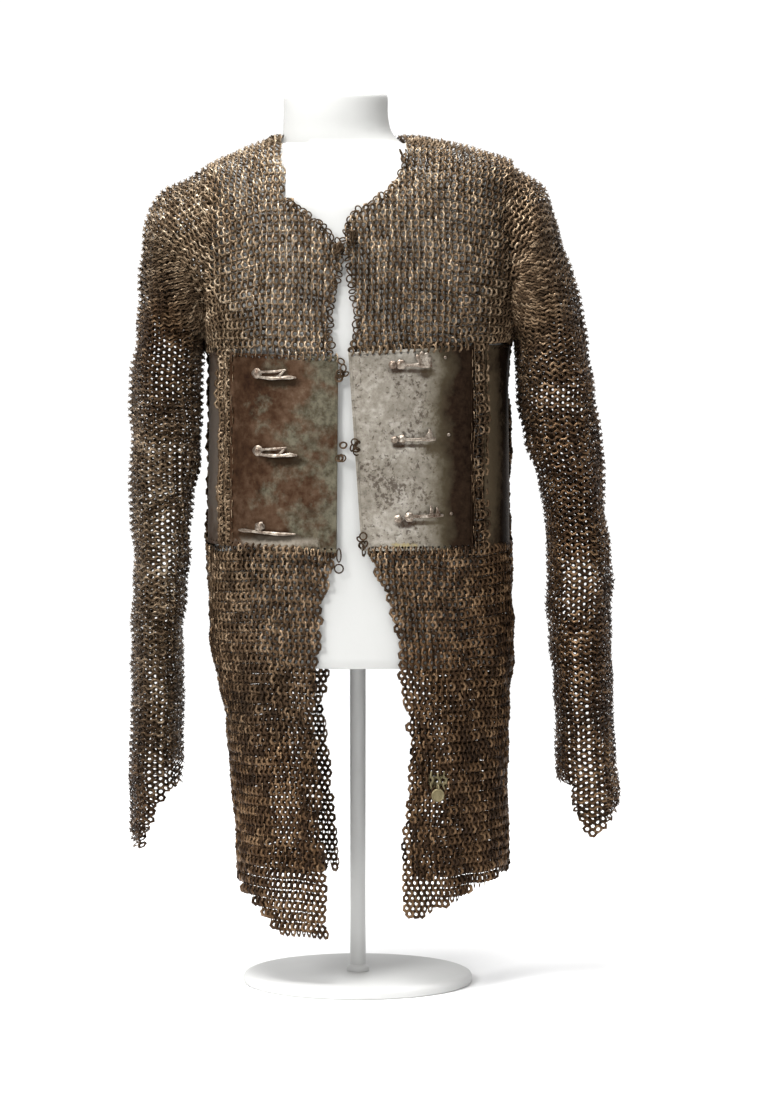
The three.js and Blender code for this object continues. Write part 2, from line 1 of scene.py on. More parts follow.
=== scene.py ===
# A mail and plate hauberk on a limbless dress form, set up for a studio picture.
# The coat is open down the front. Left and right are the wearer's, so the right half lies at -X.
# Tables and shapes are in millimetres from the form's own axis; place() turns them into the frame's metres.

import math

import bpy
import numpy as np
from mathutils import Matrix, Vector


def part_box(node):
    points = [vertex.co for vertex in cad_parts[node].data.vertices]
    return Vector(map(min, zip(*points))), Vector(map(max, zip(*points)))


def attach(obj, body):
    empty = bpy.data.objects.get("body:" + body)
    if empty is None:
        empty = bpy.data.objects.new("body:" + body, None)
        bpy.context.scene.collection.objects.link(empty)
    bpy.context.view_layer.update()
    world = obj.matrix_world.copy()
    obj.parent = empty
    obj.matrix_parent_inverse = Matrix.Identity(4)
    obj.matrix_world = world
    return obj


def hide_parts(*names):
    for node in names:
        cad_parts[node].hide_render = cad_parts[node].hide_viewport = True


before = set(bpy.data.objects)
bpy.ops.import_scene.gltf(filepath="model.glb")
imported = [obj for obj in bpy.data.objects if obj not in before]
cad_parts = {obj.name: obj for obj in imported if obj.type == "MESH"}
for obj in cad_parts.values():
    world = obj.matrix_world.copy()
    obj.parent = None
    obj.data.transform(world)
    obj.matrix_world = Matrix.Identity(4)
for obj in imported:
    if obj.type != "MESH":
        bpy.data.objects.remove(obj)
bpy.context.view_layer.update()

MM = 0.001
POLE_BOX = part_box("stand_pole")
AXIS = np.array([(POLE_BOX[0][0] + POLE_BOX[1][0]) / 2, (POLE_BOX[0][1] + POLE_BOX[1][1]) / 2, 0.0])
rng = np.random.default_rng(7)

# Ring and weave sizes
RING_RADIUS = 4.3
WIRE_WIDTH = 3.7
SKIRT_RING_RADIUS = 4.15
SKIRT_WIRE_WIDTH = 4.2
WIRE_HEIGHT = 0.7
RING_LEAN = math.radians(52)
FRONT_SKIRT_LEAN = math.radians(38)
BACK_SKIRT_LEAN = math.radians(46)
RIGHT_SLEEVE_LEAN = math.radians(39)
LEFT_SLEEVE_LEAN = math.radians(35)
MID_WALL = 1.4
RINGS_ROUND_BODY = 128
BODY_ROW = 5.85
BACK_ROWS = 35
SLEEVE_STEP = 7.7
SLEEVE_LANE = 6.3
BODY_ROUND = 2.3
SLEEVE_ROUND = 2.1
SEAM_Y = 6.0
SHOULDER_SEAM_Y = 2.0
SHOULDER_Z = 870.0
WAIST_Z = 505.0
YOKE_Z = 733.0
BACK_ROW = (YOKE_Z - WAIST_Z - BODY_ROW) / BACK_ROWS
NECK_HOLE = {"x": -16.0, "y": 2.0, "half_x": 71.5, "half_y": 66.0}


def columns(names, rows):
    """A short table as one array for each named column."""
    return {name: np.array([row[i] for row in rows], float) for i, name in enumerate(names)}


BODY = columns(("z", "right", "left", "front", "back"), [
    (50, -137, 172, 112, 117),
    (130, -138, 172.5, 112, 118),
    (235, -144, 171.5, 113, 118),
    (327, -154, 173, 115, 118),
    (385, -165, 178, 117, 118),
    (440, -170, 177, 116, 117),
    (500, -172.5, 175, 115, 117),
    (600, -171.5, 174, 117, 118),
    (700, -170.5, 173, 118, 119),
    (735, -172, 175, 118, 119),
    (752, -177, 180, 117, 119),
    (775, -186, 185, 116, 119),
    (811, -198, 191, 113, 117),
    (857, -206, 198, 108, 114),
    (892, -208, 203, 102, 110),
    (909, -206, 203, 96, 105),
    (926, -190, 200, 87, 97),
    (944, -165, 172, 76, 86),
    (961, -119, 121, 62, 73),
    (972, -96, 74, 48, 60),
])

BODY_FOLDS = [
    # side, x, width, height, top, bottom
    (-1, -112, 16, 4, 470, 60),
    (-1, -72, 14, -3, 440, 60),
    (-1, 92, 18, 4, 470, 60),
    (-1, 134, 13, -4, 480, 60),
    (-1, 158, 11, 3, 450, 60),
    (1, -120, 18, 4, 480, 60),
    (1, -76, 15, -4, 440, 60),
    (1, 98, 16, 5, 470, 60),
    (1, 140, 14, -4, 460, 60),
    (1, -30, 22, -5, 860, 540),
    (1, 40, 24, 4, 820, 520),
    (-1, -120, 16, 3, 900, 745),
    (-1, 118, 16, 3, 900, 745),
]

SLEEVE_NAMES = ("in_x", "in_z", "out_x", "out_z", "front", "back")
RIGHT_SLEEVE = columns(SLEEVE_NAMES, [
    (-148, 772, -150, 948, 70, 76),
    (-162, 764, -170, 940, 71, 77),
    (-167, 757, -194, 926, 72, 78),
    (-168, 755, -224, 909, 72, 78),
    (-169, 753, -237, 890, 70, 76),
    (-170, 751, -244, 857, 67, 73),
    (-171, 749, -247, 822, 65, 70),
    (-173, 745, -250, 788, 63, 67),
    (-176, 735, -254, 740, 61, 64),
    (-178, 700, -258, 700, 60, 62),
    (-179, 667, -261, 667, 59, 60),
    (-182, 615, -261, 615, 57, 58),
    (-188, 570, -260, 570, 55, 56),
    (-192, 525, -259, 525, 54, 54),
    (-197, 470, -257, 470, 52, 52),
    (-200, 425, -258, 425, 51, 50),
    (-202, 370, -260, 370, 50, 49),
    (-202, 310, -260, 310, 50, 48),
    (-202, 260, -262, 260, 50, 48),
    (-203, 210, -262, 210, 49, 48),
    (-204, 140, -262, 140, 49, 48),
])
LEFT_SLEEVE = columns(SLEEVE_NAMES, [
    (148, 772, 150, 948, 70, 76),
    (162, 764, 172, 940, 71, 77),
    (168, 757, 204, 924, 72, 78),
    (169, 755, 217, 908, 72, 78),
    (170, 753, 226, 878, 70, 76),
    (172, 751, 239, 840, 67, 73),
    (174, 749, 246, 818, 65, 70),
    (177, 745, 254, 787, 63, 67),
    (180, 735, 262, 740, 61, 64),
    (182, 700, 270, 700, 60, 62),
    (184, 667, 274, 667, 59, 60),
    (193, 626, 279, 626, 57, 58),
    (208, 585, 283, 585, 56, 56),
    (215, 545, 285, 545, 55, 54),
    (217, 490, 290, 490, 53, 52),
    (218, 440, 292, 440, 52, 50),
    (221, 400, 292, 400, 51, 49),
    (225, 350, 292, 350, 50, 48),
    (228, 305, 294, 305, 50, 48),
    (229, 260, 298, 260, 50, 48),
    (231, 210, 301, 210, 49, 48),
    (233, 140, 301, 140, 49, 48),
])
SLEEVE_FOLDS = [
    # z, turn in degrees from the outer side towards the back, tall, wide, height
    (700, 230, 60, 30, 3),
    (640, 290, 26, 55, -4),
    (610, 250, 24, 55, 3),
    (540, 280, 80, 26, -3),
    (470, 60, 90, 28, 3),
    (600, 80, 60, 40, -3),
    (330, 262, 90, 24, 3),
    (300, 110, 90, 26, -3),
]

# Edges in the front view, from top to bottom
RIGHT_NECKLINE = [(-88, 1000), (-86, 940), (-82, 903), (-66, 889), (-38, 871), (-20, 849),
                  (-18, 829), (-27, 803), (-32, 765), (-30, 725)]
LEFT_NECKLINE = [(57, 1000), (51, 957), (53, 940), (49, 923), (30, 905), (3, 889), (-10, 872),
                 (-14, 858), (-12, 844), (-6, 805), (0, 772), (0, 755), (-6, 730)]
RIGHT_SKIRT_EDGE = [(-24, 509), (-34, 468), (-41, 445), (-47, 380), (-51, 316), (-44, 225),
                    (-40, 150), (-37, 69)]
RIGHT_FRONT_HEM = [(-65, 69), (-90, 73), (-110, 92), (-138, 128), (-184, 132)]
LEFT_SKIRT_EDGE = [(8, 509), (23, 485), (35, 452), (47, 396), (54, 339), (61, 299), (62, 265), (56, 210),
                   (53, 157), (53, 94)]
LEFT_FRONT_HEM = [(71, 96), (93, 105), (139, 121), (172, 138), (200, 140)]
RIGHT_VENT_EDGE = [(12, 511), (4, 450), (-22, 395), (-36, 350), (-43, 305), (-38, 261),
                   (-30, 195), (-22, 112)]
RIGHT_BACK_HEM = [(-34, 122), (-60, 112), (-100, 118), (-184, 130)]
LEFT_VENT_EDGE = [(12, 511), (18, 450), (44, 395), (60, 350), (66, 300), (64, 200), (62, 108)]
LEFT_BACK_HEM = [(80, 104), (120, 116), (200, 136)]
RIGHT_ARMHOLE = [(-172, 1000), (-172, 762), (-174, 742)]
LEFT_ARMHOLE = [(175, 1000), (175, 762), (177.5, 742)]
RIGHT_SLEEVE_HEAD = [(-165, 1000), (-165, 880), (-172, 850), (-172, 762), (-174, 742), (-174.2, 640)]
LEFT_SLEEVE_HEAD = [(168, 1000), (168, 880), (175, 850), (175, 762), (177.5, 742), (177.5, 640)]
RIGHT_CUFF_FRONT = [(-190, 264), (-214, 258), (-230, 232), (-239, 190), (-247, 163), (-256, 163), (-280, 200)]
RIGHT_CUFF_BACK = [(-190, 236), (-205, 232), (-218, 218), (-233, 201), (-240, 183), (-247, 163), (-256, 163),
                   (-280, 200)]
LEFT_CUFF = [(210, 237), (247, 237), (251, 212), (258, 185), (265, 174), (271, 174), (294, 200), (320, 222)]

RIGHT_PLATE = {"edge_top": -21, "edge_bottom": -23, "outer": -144.5, "side": -154,
               "top_edge_z": 725, "top_z": 729, "bottom_z": 510, "bottom_edge_z": 505}
LEFT_PLATE = {"edge_top": -10, "edge_bottom": 5, "outer": 132, "side": 144,
              "top_edge_z": 730, "top_z": 737, "bottom_z": 507, "bottom_edge_z": 507}


def place(points):
    """Millimetres from the form's axis to metres in the frame."""
    return np.asarray(points, float) * MM + AXIS


def curve_at(table, along, column, value):
    """One column of a table at some heights, along a smooth curve through its rows."""
    at = table[along]
    held = np.clip(np.asarray(value, float), at[0], at[-1])
    values = table[column]
    last = len(at) - 1
    i = np.clip(np.searchsorted(at, held, side="left") - 1, 0, last - 1)
    before = np.maximum(np.arange(last + 1) - 1, 0)
    after = np.minimum(np.arange(last + 1) + 1, last)
    slope = (values[after] - values[before]) / (at[after] - at[before])
    span = at[i + 1] - at[i]
    t = (held - at[i]) / span
    rise = t * t * (3 - 2 * t)
    bend = span * (slope[i] * t * (1 - t) ** 2 - slope[i + 1] * t * t * (1 - t))
    return values[i] * (1 - rise) + values[i + 1] * rise + bend


def smooth_step(low, high, value):
    t = np.clip((value - low) / (high - low), 0, 1)
    return t * t * (3 - 2 * t)


def body_fold(side, x, z):
    height = 0.0
    for fold_side, fold_x, width, rise, top, bottom in BODY_FOLDS:
        down = smooth_step(top, top - 90, z) * smooth_step(bottom - 1, bottom, z)
        height = height + (side == fold_side) * rise * down * np.exp(-(((x - fold_x) / width) ** 2))
    return height


def body_section(z, turn, inset=MID_WALL, limits=(-math.inf, math.inf)):
    """Points of the body at one height, at turns counted from the front centre towards +X."""
    right = np.maximum(curve_at(BODY, "z", "right", z) + inset, limits[0])
    left = np.minimum(curve_at(BODY, "z", "left", z) - inset, limits[1])
    c = np.sin(turn)
    s = -np.cos(turn)
    x = (left + right) / 2 + (left - right) / 2 * np.sign(c) * np.abs(c) ** (2 / BODY_ROUND)
    side = np.where(s < 0, -1, 1)
    depth = np.where(s < 0, curve_at(BODY, "z", "front", z), curve_at(BODY, "z", "back", z)) - inset
    y = side * (depth * np.abs(s) ** (2 / BODY_ROUND) + body_fold(side, x, z) * np.abs(s))
    return np.stack([x, y, np.broadcast_to(z, x.shape)], -1)


def face(side, x, z, inset=MID_WALL):
    """Depth of the front (-1) or back (1) of the body at points of the front view."""
    right = curve_at(BODY, "z", "right", z) + inset
    left = curve_at(BODY, "z", "left", z) - inset
    u = np.clip(np.abs((2 * x - left - right) / (left - right)), 0, 1)
    share = (1 - u**BODY_ROUND) ** (1 / BODY_ROUND)
    deep = curve_at(BODY, "z", "front" if side < 0 else "back", z) - inset
    return side * (deep * share + body_fold(side, x, z) * share ** (BODY_ROUND / 2))


def girth_table(z, inset=MID_WALL, samples=721):
    turn = np.linspace(-math.pi, math.pi, samples)
    points = body_section(z, turn, inset)
    length = np.concatenate([[0], np.cumsum(np.linalg.norm(np.diff(points, axis=0), axis=1))])
    middle = np.interp(0, turn, length)
    return turn, length - middle, length[-1]


def inside(outline, x, z):
    """Whether points of the front view lie inside a closed outline."""
    hit = np.zeros(np.shape(x), bool)
    for (x1, z1), (x2, z2) in zip(outline, outline[1:] + outline[:1]):
        crosses = (z1 > z) != (z2 > z)
        run = (x2 - x1) * (z - z1) / ((z2 - z1) if z2 != z1 else 1.0) + x1
        hit ^= crosses & (x < run)
    return hit


def unit(v):
    return v / np.maximum(np.linalg.norm(v, axis=-1, keepdims=True), 1e-9)


class Net:
    """Ring centres with the direction of their row, the way out of the cloth, and the row's number."""

    def __init__(self):
        self.centre = []
        self.along = []
        self.out = []
        self.row = []

    def add(self, centre, along, out, row):
        self.centre.append(centre)
        self.along.append(unit(along))
        self.out.append(unit(out))
        self.row.append(np.full(len(centre), row))

    def keep(self, test):
        """The rings for which the test of centres says yes, as arrays."""
        centre = np.concatenate(self.centre)
        rows = np.concatenate(self.row)
        chosen = test(centre)
        along = np.concatenate(self.along)
        out = np.concatenate(self.out)
        return centre[chosen], along[chosen], out[chosen], rows[chosen]


def body_net(z_top, z_bottom, row_height=BODY_ROW):
    """Level rows round the whole body between two heights."""
    net = Net()
    count = int(round((z_top - z_bottom) / row_height))
    for row in range(count + 1):
        z = z_top - row * row_height
        turn, length, girth = girth_table(z)
        place_in_row = (np.arange(RINGS_ROUND_BODY) + 0.5 * (row % 2)) / RINGS_ROUND_BODY - 0.5
        s = place_in_row * girth
        here = body_section(z, np.interp(s, length, turn))
        ahead = body_section(z, np.interp(s + 1, length, turn))
        above = body_section(z + 2, np.interp(s, length, turn))
        along = ahead - here
        net.add(here, along, np.cross(along, above - here), row)
    return net


def top_of_profile(side, x):
    """The height where the body ends above a place across it."""
    z = np.linspace(720, 972, 1200)
    left = curve_at(BODY, "z", "left", z) - MID_WALL
    right = curve_at(BODY, "z", "right", z) + MID_WALL
    within = (x[:, None] < left[None, :]) & (x[:, None] > right[None, :])
    last = within.shape[1] - 1 - np.argmax(within[:, ::-1], axis=1)
    return z[last]


SHOULDER_X = 104
ROWS_BESIDE_NECK = 3
REACH = 1.5


def points_at(s, length, line):
    return np.stack([np.interp(s, length, line[:, k]) for k in range(3)], -1)


def yoke_net(side, z_low, row_height=BODY_ROW):
    """Rows that lie level over the plates and follow the shoulder line at the top."""
    x = np.arange(-176.0, 178.5, 1.0)
    z_high = top_of_profile(side, x)
    rise = 1 - (1 - np.linspace(0, 1, 260)) ** 2
    z = z_low + (z_high - z_low)[:, None] * rise[None, :]
    y = face(side, x[:, None], z)
    level = np.linspace(1, 0, 40)[None, 1:]
    z = np.concatenate([z, z[:, -1:] + 0 * level], axis=1)
    y = np.concatenate([y, y[:, -1:] * level], axis=1)
    steps = np.hypot(np.diff(z, axis=1), np.diff(y, axis=1))
    arc = np.concatenate([np.zeros((len(x), 1)), np.cumsum(steps, axis=1)], axis=1)
    whole = arc[:, -1].copy()
    middle = np.abs(x) < SHOULDER_X
    whole[middle] = np.interp(x[middle], x[~middle], whole[~middle])
    count = int(round(np.median(whole) / row_height))
    pitch = girth_table(735.0)[2] / RINGS_ROUND_BODY

    def row_line(t):
        want = t * whole
        zz = np.array([np.interp(want[i], arc[i], z[i]) for i in range(len(x))])
        yy = np.array([np.interp(want[i], arc[i], y[i]) for i in range(len(x))])
        beyond = want > arc[:, -1] + 0.5
        return np.stack([x, yy, zz], -1), beyond

    net = Net()
    for row in range(count + 1 + ROWS_BESIDE_NECK):
        line, beyond = row_line(row / count)
        above, _ = row_line((row + 0.2) / count)
        below, _ = row_line((row - 0.2) / count)
        length = np.concatenate([[0], np.cumsum(np.linalg.norm(np.diff(line, axis=0), axis=1))])
        length -= np.interp(0, x, length)
        half = 0.5 * (row % 2)
        s = np.arange(math.ceil(length[0] / pitch - half), math.floor(length[-1] / pitch - half) + 1) + half
        s = s * pitch
        here = points_at(s, length, line)
        along = (points_at(s - REACH, length, line) - points_at(s + REACH, length, line)) * side
        out = np.cross(along, points_at(s, length, above) - points_at(s, length, below))
        fine = np.interp(s, length, beyond.astype(float)) < 0.5
        net.add(here[fine], along[fine], out[fine], row)
    return net


def sleeve_points(table, at, turn):
    """Points of a sleeve at a distance down its outer side, at turns from the outer side to the back."""
    row = {name: curve_at(table, "at", name, at) for name in SLEEVE_NAMES}
    across = np.stack([row["out_x"] - row["in_x"], row["out_z"] - row["in_z"]], -1)
    reach = np.linalg.norm(across, axis=-1)
    direction = across / reach[..., None]
    c = np.cos(turn)
    s = np.sin(turn)
    bulge = 0.0
    for z, fold_turn, tall, wide, height in SLEEVE_FOLDS:
        apart = np.abs((np.degrees(turn) - fold_turn + 540) % 360 - 180)
        bulge = bulge + height * np.exp(-((apart / wide) ** 2) - ((row["out_z"] - z) / tall) ** 2)
    along = reach / 2 + (reach / 2 - MID_WALL + bulge) * np.sign(c) * np.abs(c) ** (2 / SLEEVE_ROUND)
    depth = np.where(s < 0, row["front"], row["back"]) - MID_WALL + bulge
    y = depth * np.sign(s) * np.abs(s) ** (2 / SLEEVE_ROUND)
    x = row["in_x"] + direction[..., 0] * along
    z = row["in_z"] + direction[..., 1] * along
    return np.stack([x, y, z], -1)


# Least pitch along a lane for a ring in every step, every second and every fourth step
SLEEVE_PITCHES = (4.2, 2.2, 1.2)


def sleeve_net(table):
    """Rows that run down the arm, closed by a seam along its inner side."""
    steps = np.hypot(np.diff(table["out_x"]), np.diff(table["out_z"]))
    table["at"] = np.concatenate([[0], np.cumsum(steps)])
    whole = table["at"][-1]
    turn = np.linspace(-math.pi, math.pi, 361)

    def point(at, lane):
        ring = sleeve_points(table, np.full(turn.shape, at), turn)
        length = np.concatenate([[0], np.cumsum(np.linalg.norm(np.diff(ring, axis=0), axis=1))])
        middle = np.interp(0, turn, length)
        good = (lane > -middle) & (lane < length[-1] - middle)
        where = np.interp(lane + middle, length, turn)
        return sleeve_points(table, np.full(lane.shape, at), where), good

    net = Net()
    lanes = np.arange(-60, 61)
    for step in range(int(whole / SLEEVE_STEP)):
        for parity in (0, 1):
            mine = lanes[lanes % 2 == parity]
            at = (step + 0.5 * parity) * SLEEVE_STEP
            lane = mine * SLEEVE_LANE
            here, good = point(at, lane)
            down, _ = point(min(at + SLEEVE_STEP, whole), lane)
            beside, _ = point(at, lane + 1.5)
            along = down - here
            pitch = np.linalg.norm(along, axis=1)
            every, second, fourth = (pitch > least for least in SLEEVE_PITCHES)
            good &= every | (second & (step % 2 == 0)) | (fourth & (step % 4 == 0))
            out = np.cross(along, beside - here)
            for i in np.flatnonzero(good):
                net.add(here[i:i + 1], along[i:i + 1], out[i:i + 1], mine[i])
    return net


def ring_template(radius, width, steps=6):
    """One ring of flattened wire as corner points and faces round the origin, in millimetres."""
    section = ((-width / 2, -WIRE_HEIGHT / 2), (width / 2, -WIRE_HEIGHT / 2), (0, WIRE_HEIGHT / 2))
    points = []
    faces = []
    for i in range(steps):
        turn = 2 * math.pi * i / steps
        for j, (outward, height) in enumerate(section):
            reach = radius + outward
            points.append((reach * math.cos(turn), reach * math.sin(turn), height))
            k = (j + 1) % 3
            ahead = (i + 1) % steps
            faces.append((3 * i + j, 3 * ahead + j, 3 * ahead + k, 3 * i + k))
    return np.array(points), np.array(faces)


RING = ring_template(RING_RADIUS, WIRE_WIDTH)
SKIRT_RING = ring_template(SKIRT_RING_RADIUS, SKIRT_WIRE_WIDTH)


def waver(centre, out):
    """Slow unevenness of hanging mail: a little sideways, up and down, and in and out."""
    x, y, z = centre.T
    aside = 0.9 * np.sin(z * 0.043 + y * 0.03) + 0.6 * np.sin(z * 0.11 + x * 0.02 + 1.7)
    lift = 1.3 * np.sin(x * 0.047 + 0.6 * np.sin(z * 0.021)) + 0.7 * np.sin(x * 0.13 + y * 0.05 + z * 0.018)
    bulge = 0.8 * np.sin(x * 0.071 + z * 0.052 + y * 0.06) + 0.5 * np.sin(z * 0.13 - x * 0.05)
    return centre + np.stack([aside, 0 * aside, lift], -1) + out * bulge[:, None]


def joined_rings(name, rings, lean=RING_LEAN, ring=RING):
    """One mesh of many rings, each laid in its row and leaning one way or the other by its row."""
    ring_points, ring_faces = ring
    centre, along, out, row = rings
    count = len(centre)
    lean = lean + 0.12 * np.sin(centre[:, 0] * 0.09 + centre[:, 2] * 0.045 + centre[:, 1] * 0.04)[:, None]
    centre = waver(centre, out)
    across = unit(np.cross(out, along))
    out = np.cross(along, across)
    way = np.where(row % 2 == 0, 1.0, -1.0)[:, None]
    tilt = lean + rng.normal(0, 0.1, count)[:, None]
    e1 = along * np.cos(tilt) + out * np.sin(tilt) * way
    nod = rng.normal(0, 0.07, count)[:, None]
    e2 = across * np.cos(nod) + out * np.sin(nod)
    e2 = unit(e2 - e1 * np.sum(e1 * e2, axis=1, keepdims=True))
    e3 = np.cross(e1, e2)
    spin = rng.uniform(0, 2 * math.pi, count)[:, None]
    turned1 = e1 * np.cos(spin) + e2 * np.sin(spin)
    turned2 = -e1 * np.sin(spin) + e2 * np.cos(spin)
    scale = (1 + rng.normal(0, 0.015, count))[:, None, None]
    jitter = rng.normal(0, 0.18, (count, 3))
    points = ((centre + jitter)[:, None, :]
              + scale * (ring_points[None, :, 0:1] * turned1[:, None, :]
                         + ring_points[None, :, 1:2] * turned2[:, None, :]
                         + ring_points[None, :, 2:3] * e3[:, None, :]))
    corners = len(ring_points)
    faces = ring_faces[None, :, :] + (np.arange(count) * corners)[:, None, None]
    tone = np.repeat(rng.uniform(0, 1, count), corners)
    return array_mesh(name, place(points.reshape(-1, 3)), faces.reshape(-1, 4), tone)


def array_mesh(name, points, faces, tone=None):
    """A smooth-shaded object from arrays of points and four-sided faces."""
    mesh = bpy.data.meshes.new(name)
    mesh.vertices.add(len(points))
    mesh.vertices.foreach_set("co", points.astype(np.float32).ravel())
    mesh.loops.add(faces.size)
    mesh.loops.foreach_set("vertex_index", faces.astype(np.int32).ravel())
    mesh.polygons.add(len(faces))
    mesh.polygons.foreach_set("loop_start", np.arange(0, faces.size, 4, dtype=np.int32))
    mesh.polygons.foreach_set("use_smooth", np.ones(len(faces), bool))
    if tone is not None:
        mesh.attributes.new("tone", "FLOAT", "POINT").data.foreach_set("value", tone.astype(np.float32))
    mesh.update(calc_edges=True)
    obj = bpy.data.objects.new(name, mesh)
    bpy.context.collection.objects.link(obj)
    return obj


class Parts:
    """Points and faces of small worked shapes, gathered for one mesh."""

    def __init__(self):
        self.points = []
        self.faces = []

    def skin(self, rings, closed=False):
        """A skin over rings of points, with its ends closed by faces or joined to each other."""
        rings = np.asarray(rings, float)
        count, sides = rings.shape[:2]
        start = len(self.points)
        self.points.extend(rings.reshape(-1, 3).tolist())
        for i in range(count if closed else count - 1):
            low = start + i * sides
            high = start + ((i + 1) % count) * sides
            for j in range(sides):
                k = (j + 1) % sides
                self.faces.append((low + j, low + k, high + k, high + j))
        if not closed:
            self.faces.append(tuple(range(start + sides - 1, start - 1, -1)))
            self.faces.append(tuple(range(start + (count - 1) * sides, start + count * sides)))

    def build(self, name, angle=40):
        mesh = bpy.data.meshes.new(name)
        mesh.from_pydata(place(self.points).tolist(), [], self.faces)
        obj = bpy.data.objects.new(name, mesh)
        bpy.context.collection.objects.link(obj)
        choose(obj)
        bpy.ops.object.mode_set(mode="EDIT")
        bpy.ops.mesh.select_all(action="SELECT")
        bpy.ops.mesh.normals_make_consistent(inside=False)
        bpy.ops.object.mode_set(mode="OBJECT")
        bpy.ops.object.shade_smooth_by_angle(angle=math.radians(angle))
        return obj


def choose(obj):
    bpy.ops.object.select_all(action="DESELECT")
    obj.select_set(True)
    bpy.context.view_layer.objects.active = obj


def on_front(x, z, lift):
    """A point at some distance out from the front, with the directions right, up and out there."""
    reach = 3.0
    slope_x = (face(-1, x + reach, z, 0.0) - face(-1, x - reach, z, 0.0)) / (2 * reach)
    slope_z = (face(-1, x, z + reach, 0.0) - face(-1, x, z - reach, 0.0)) / (2 * reach)
    out = unit(np.array([slope_x, -1.0, slope_z]))
    right = unit(np.cross((0.0, 0.0, 1.0), out))
    return np.array([x, face(-1, x, z, 0.0), z]) + out * lift, right, np.cross(out, right), out


def turned(parts, x, z, foot, radius, profile, sides=20, flutes=0, depth=0.0):
    """A shape of revolution on the front: the profile gives shares of the radius and heights."""
    centre, right, up, out = on_front(x, z, foot)
    turn = np.linspace(0, 2 * math.pi, sides, endpoint=False)
    swell = radius * (1 + depth * np.cos(flutes * turn))
    circle = np.cos(turn)[:, None] * right + np.sin(turn)[:, None] * up
    parts.skin([centre + out * height + (swell * share)[:, None] * circle for share, height in profile])


def knob(parts, x, z, radius, flutes):
    profile = [(0.9, 0.0), (1.05, 0.6), (0.72, 1.4), (0.72, 2.2), (1.0, 3.0), (1.02, 4.0),
               (0.8, 5.3), (0.42, 6.1), (0.1, 6.3)]
    turned(parts, x, z, 0.3, radius, profile, 24, flutes, 0.07)


BAR_NAMES = ("x", "z", "lift", "half_width", "half_height")
BAR_LIFT = 1.7
BAR_WIDTH = 1.2
BAR_HEIGHT = 1.35


def bar(parts, x, z, rows, steps=5, sides=12):
    """A worked bar over the front through rows of x, z, lift, half width and half height."""
    table = columns(BAR_NAMES, rows)
    table["at"] = np.arange(len(rows), dtype=float)
    turn = np.linspace(0, 2 * math.pi, sides, endpoint=False)
    wide = np.sign(np.cos(turn)) * np.abs(np.cos(turn)) ** 0.8
    tall = np.sign(np.sin(turn)) * np.abs(np.sin(turn)) ** 0.8

    def spot(at):
        values = [float(curve_at(table, "at", name, at)) for name in BAR_NAMES]
        centre, _, _, out = on_front(x + values[0], z + values[1], values[2] * BAR_LIFT)
        return centre, out, values[3] * BAR_WIDTH, values[4] * BAR_HEIGHT

    rings = []
    for at in np.linspace(0, len(rows) - 1, (len(rows) - 1) * steps + 1):
        centre, out, half_width, half_height = spot(at)
        ahead = spot(min(at + 0.05, len(rows) - 1))[0] - spot(max(at - 0.05, 0))[0]
        side = unit(np.cross(out, ahead))
        rings.append(centre + np.outer(wide * half_width, side) + np.outer(tall * half_height, out))
    parts.skin(rings)


def loose_ring(parts, centre, right, up, radius, wire, stretch=1.0, steps=12, sides=5):
    """One wire ring in the plane of two directions, drawn out along the second one."""
    out = np.cross(right, up)
    turn = np.linspace(0, 2 * math.pi, steps, endpoint=False)
    small = np.linspace(0, 2 * math.pi, sides, endpoint=False)
    rings = []
    for a in turn:
        spoke = math.cos(a) * right + math.sin(a) * up
        middle = centre + radius * (math.cos(a) * right + stretch * math.sin(a) * up)
        rings.append(middle + wire * (np.outer(np.cos(small), spoke) + np.outer(np.sin(small), out)))
    parts.skin(rings, closed=True)


# Materials


class Value:
    """A shader socket that takes part in sums, with its Math nodes added on the way."""

    def __init__(self, shader, socket):
        self.shader = shader
        self.socket = socket

    def _math(self, operation, first, second):
        return self.shader.node("ShaderNodeMath", {"operation": operation}, {0: first, 1: second})

    def __add__(self, other):
        return self._math("ADD", self, other)

    __radd__ = __add__

    def __sub__(self, other):
        return self._math("SUBTRACT", self, other)

    def __rsub__(self, other):
        return self._math("SUBTRACT", other, self)

    def __mul__(self, other):
        return self._math("MULTIPLY", self, other)

    __rmul__ = __mul__


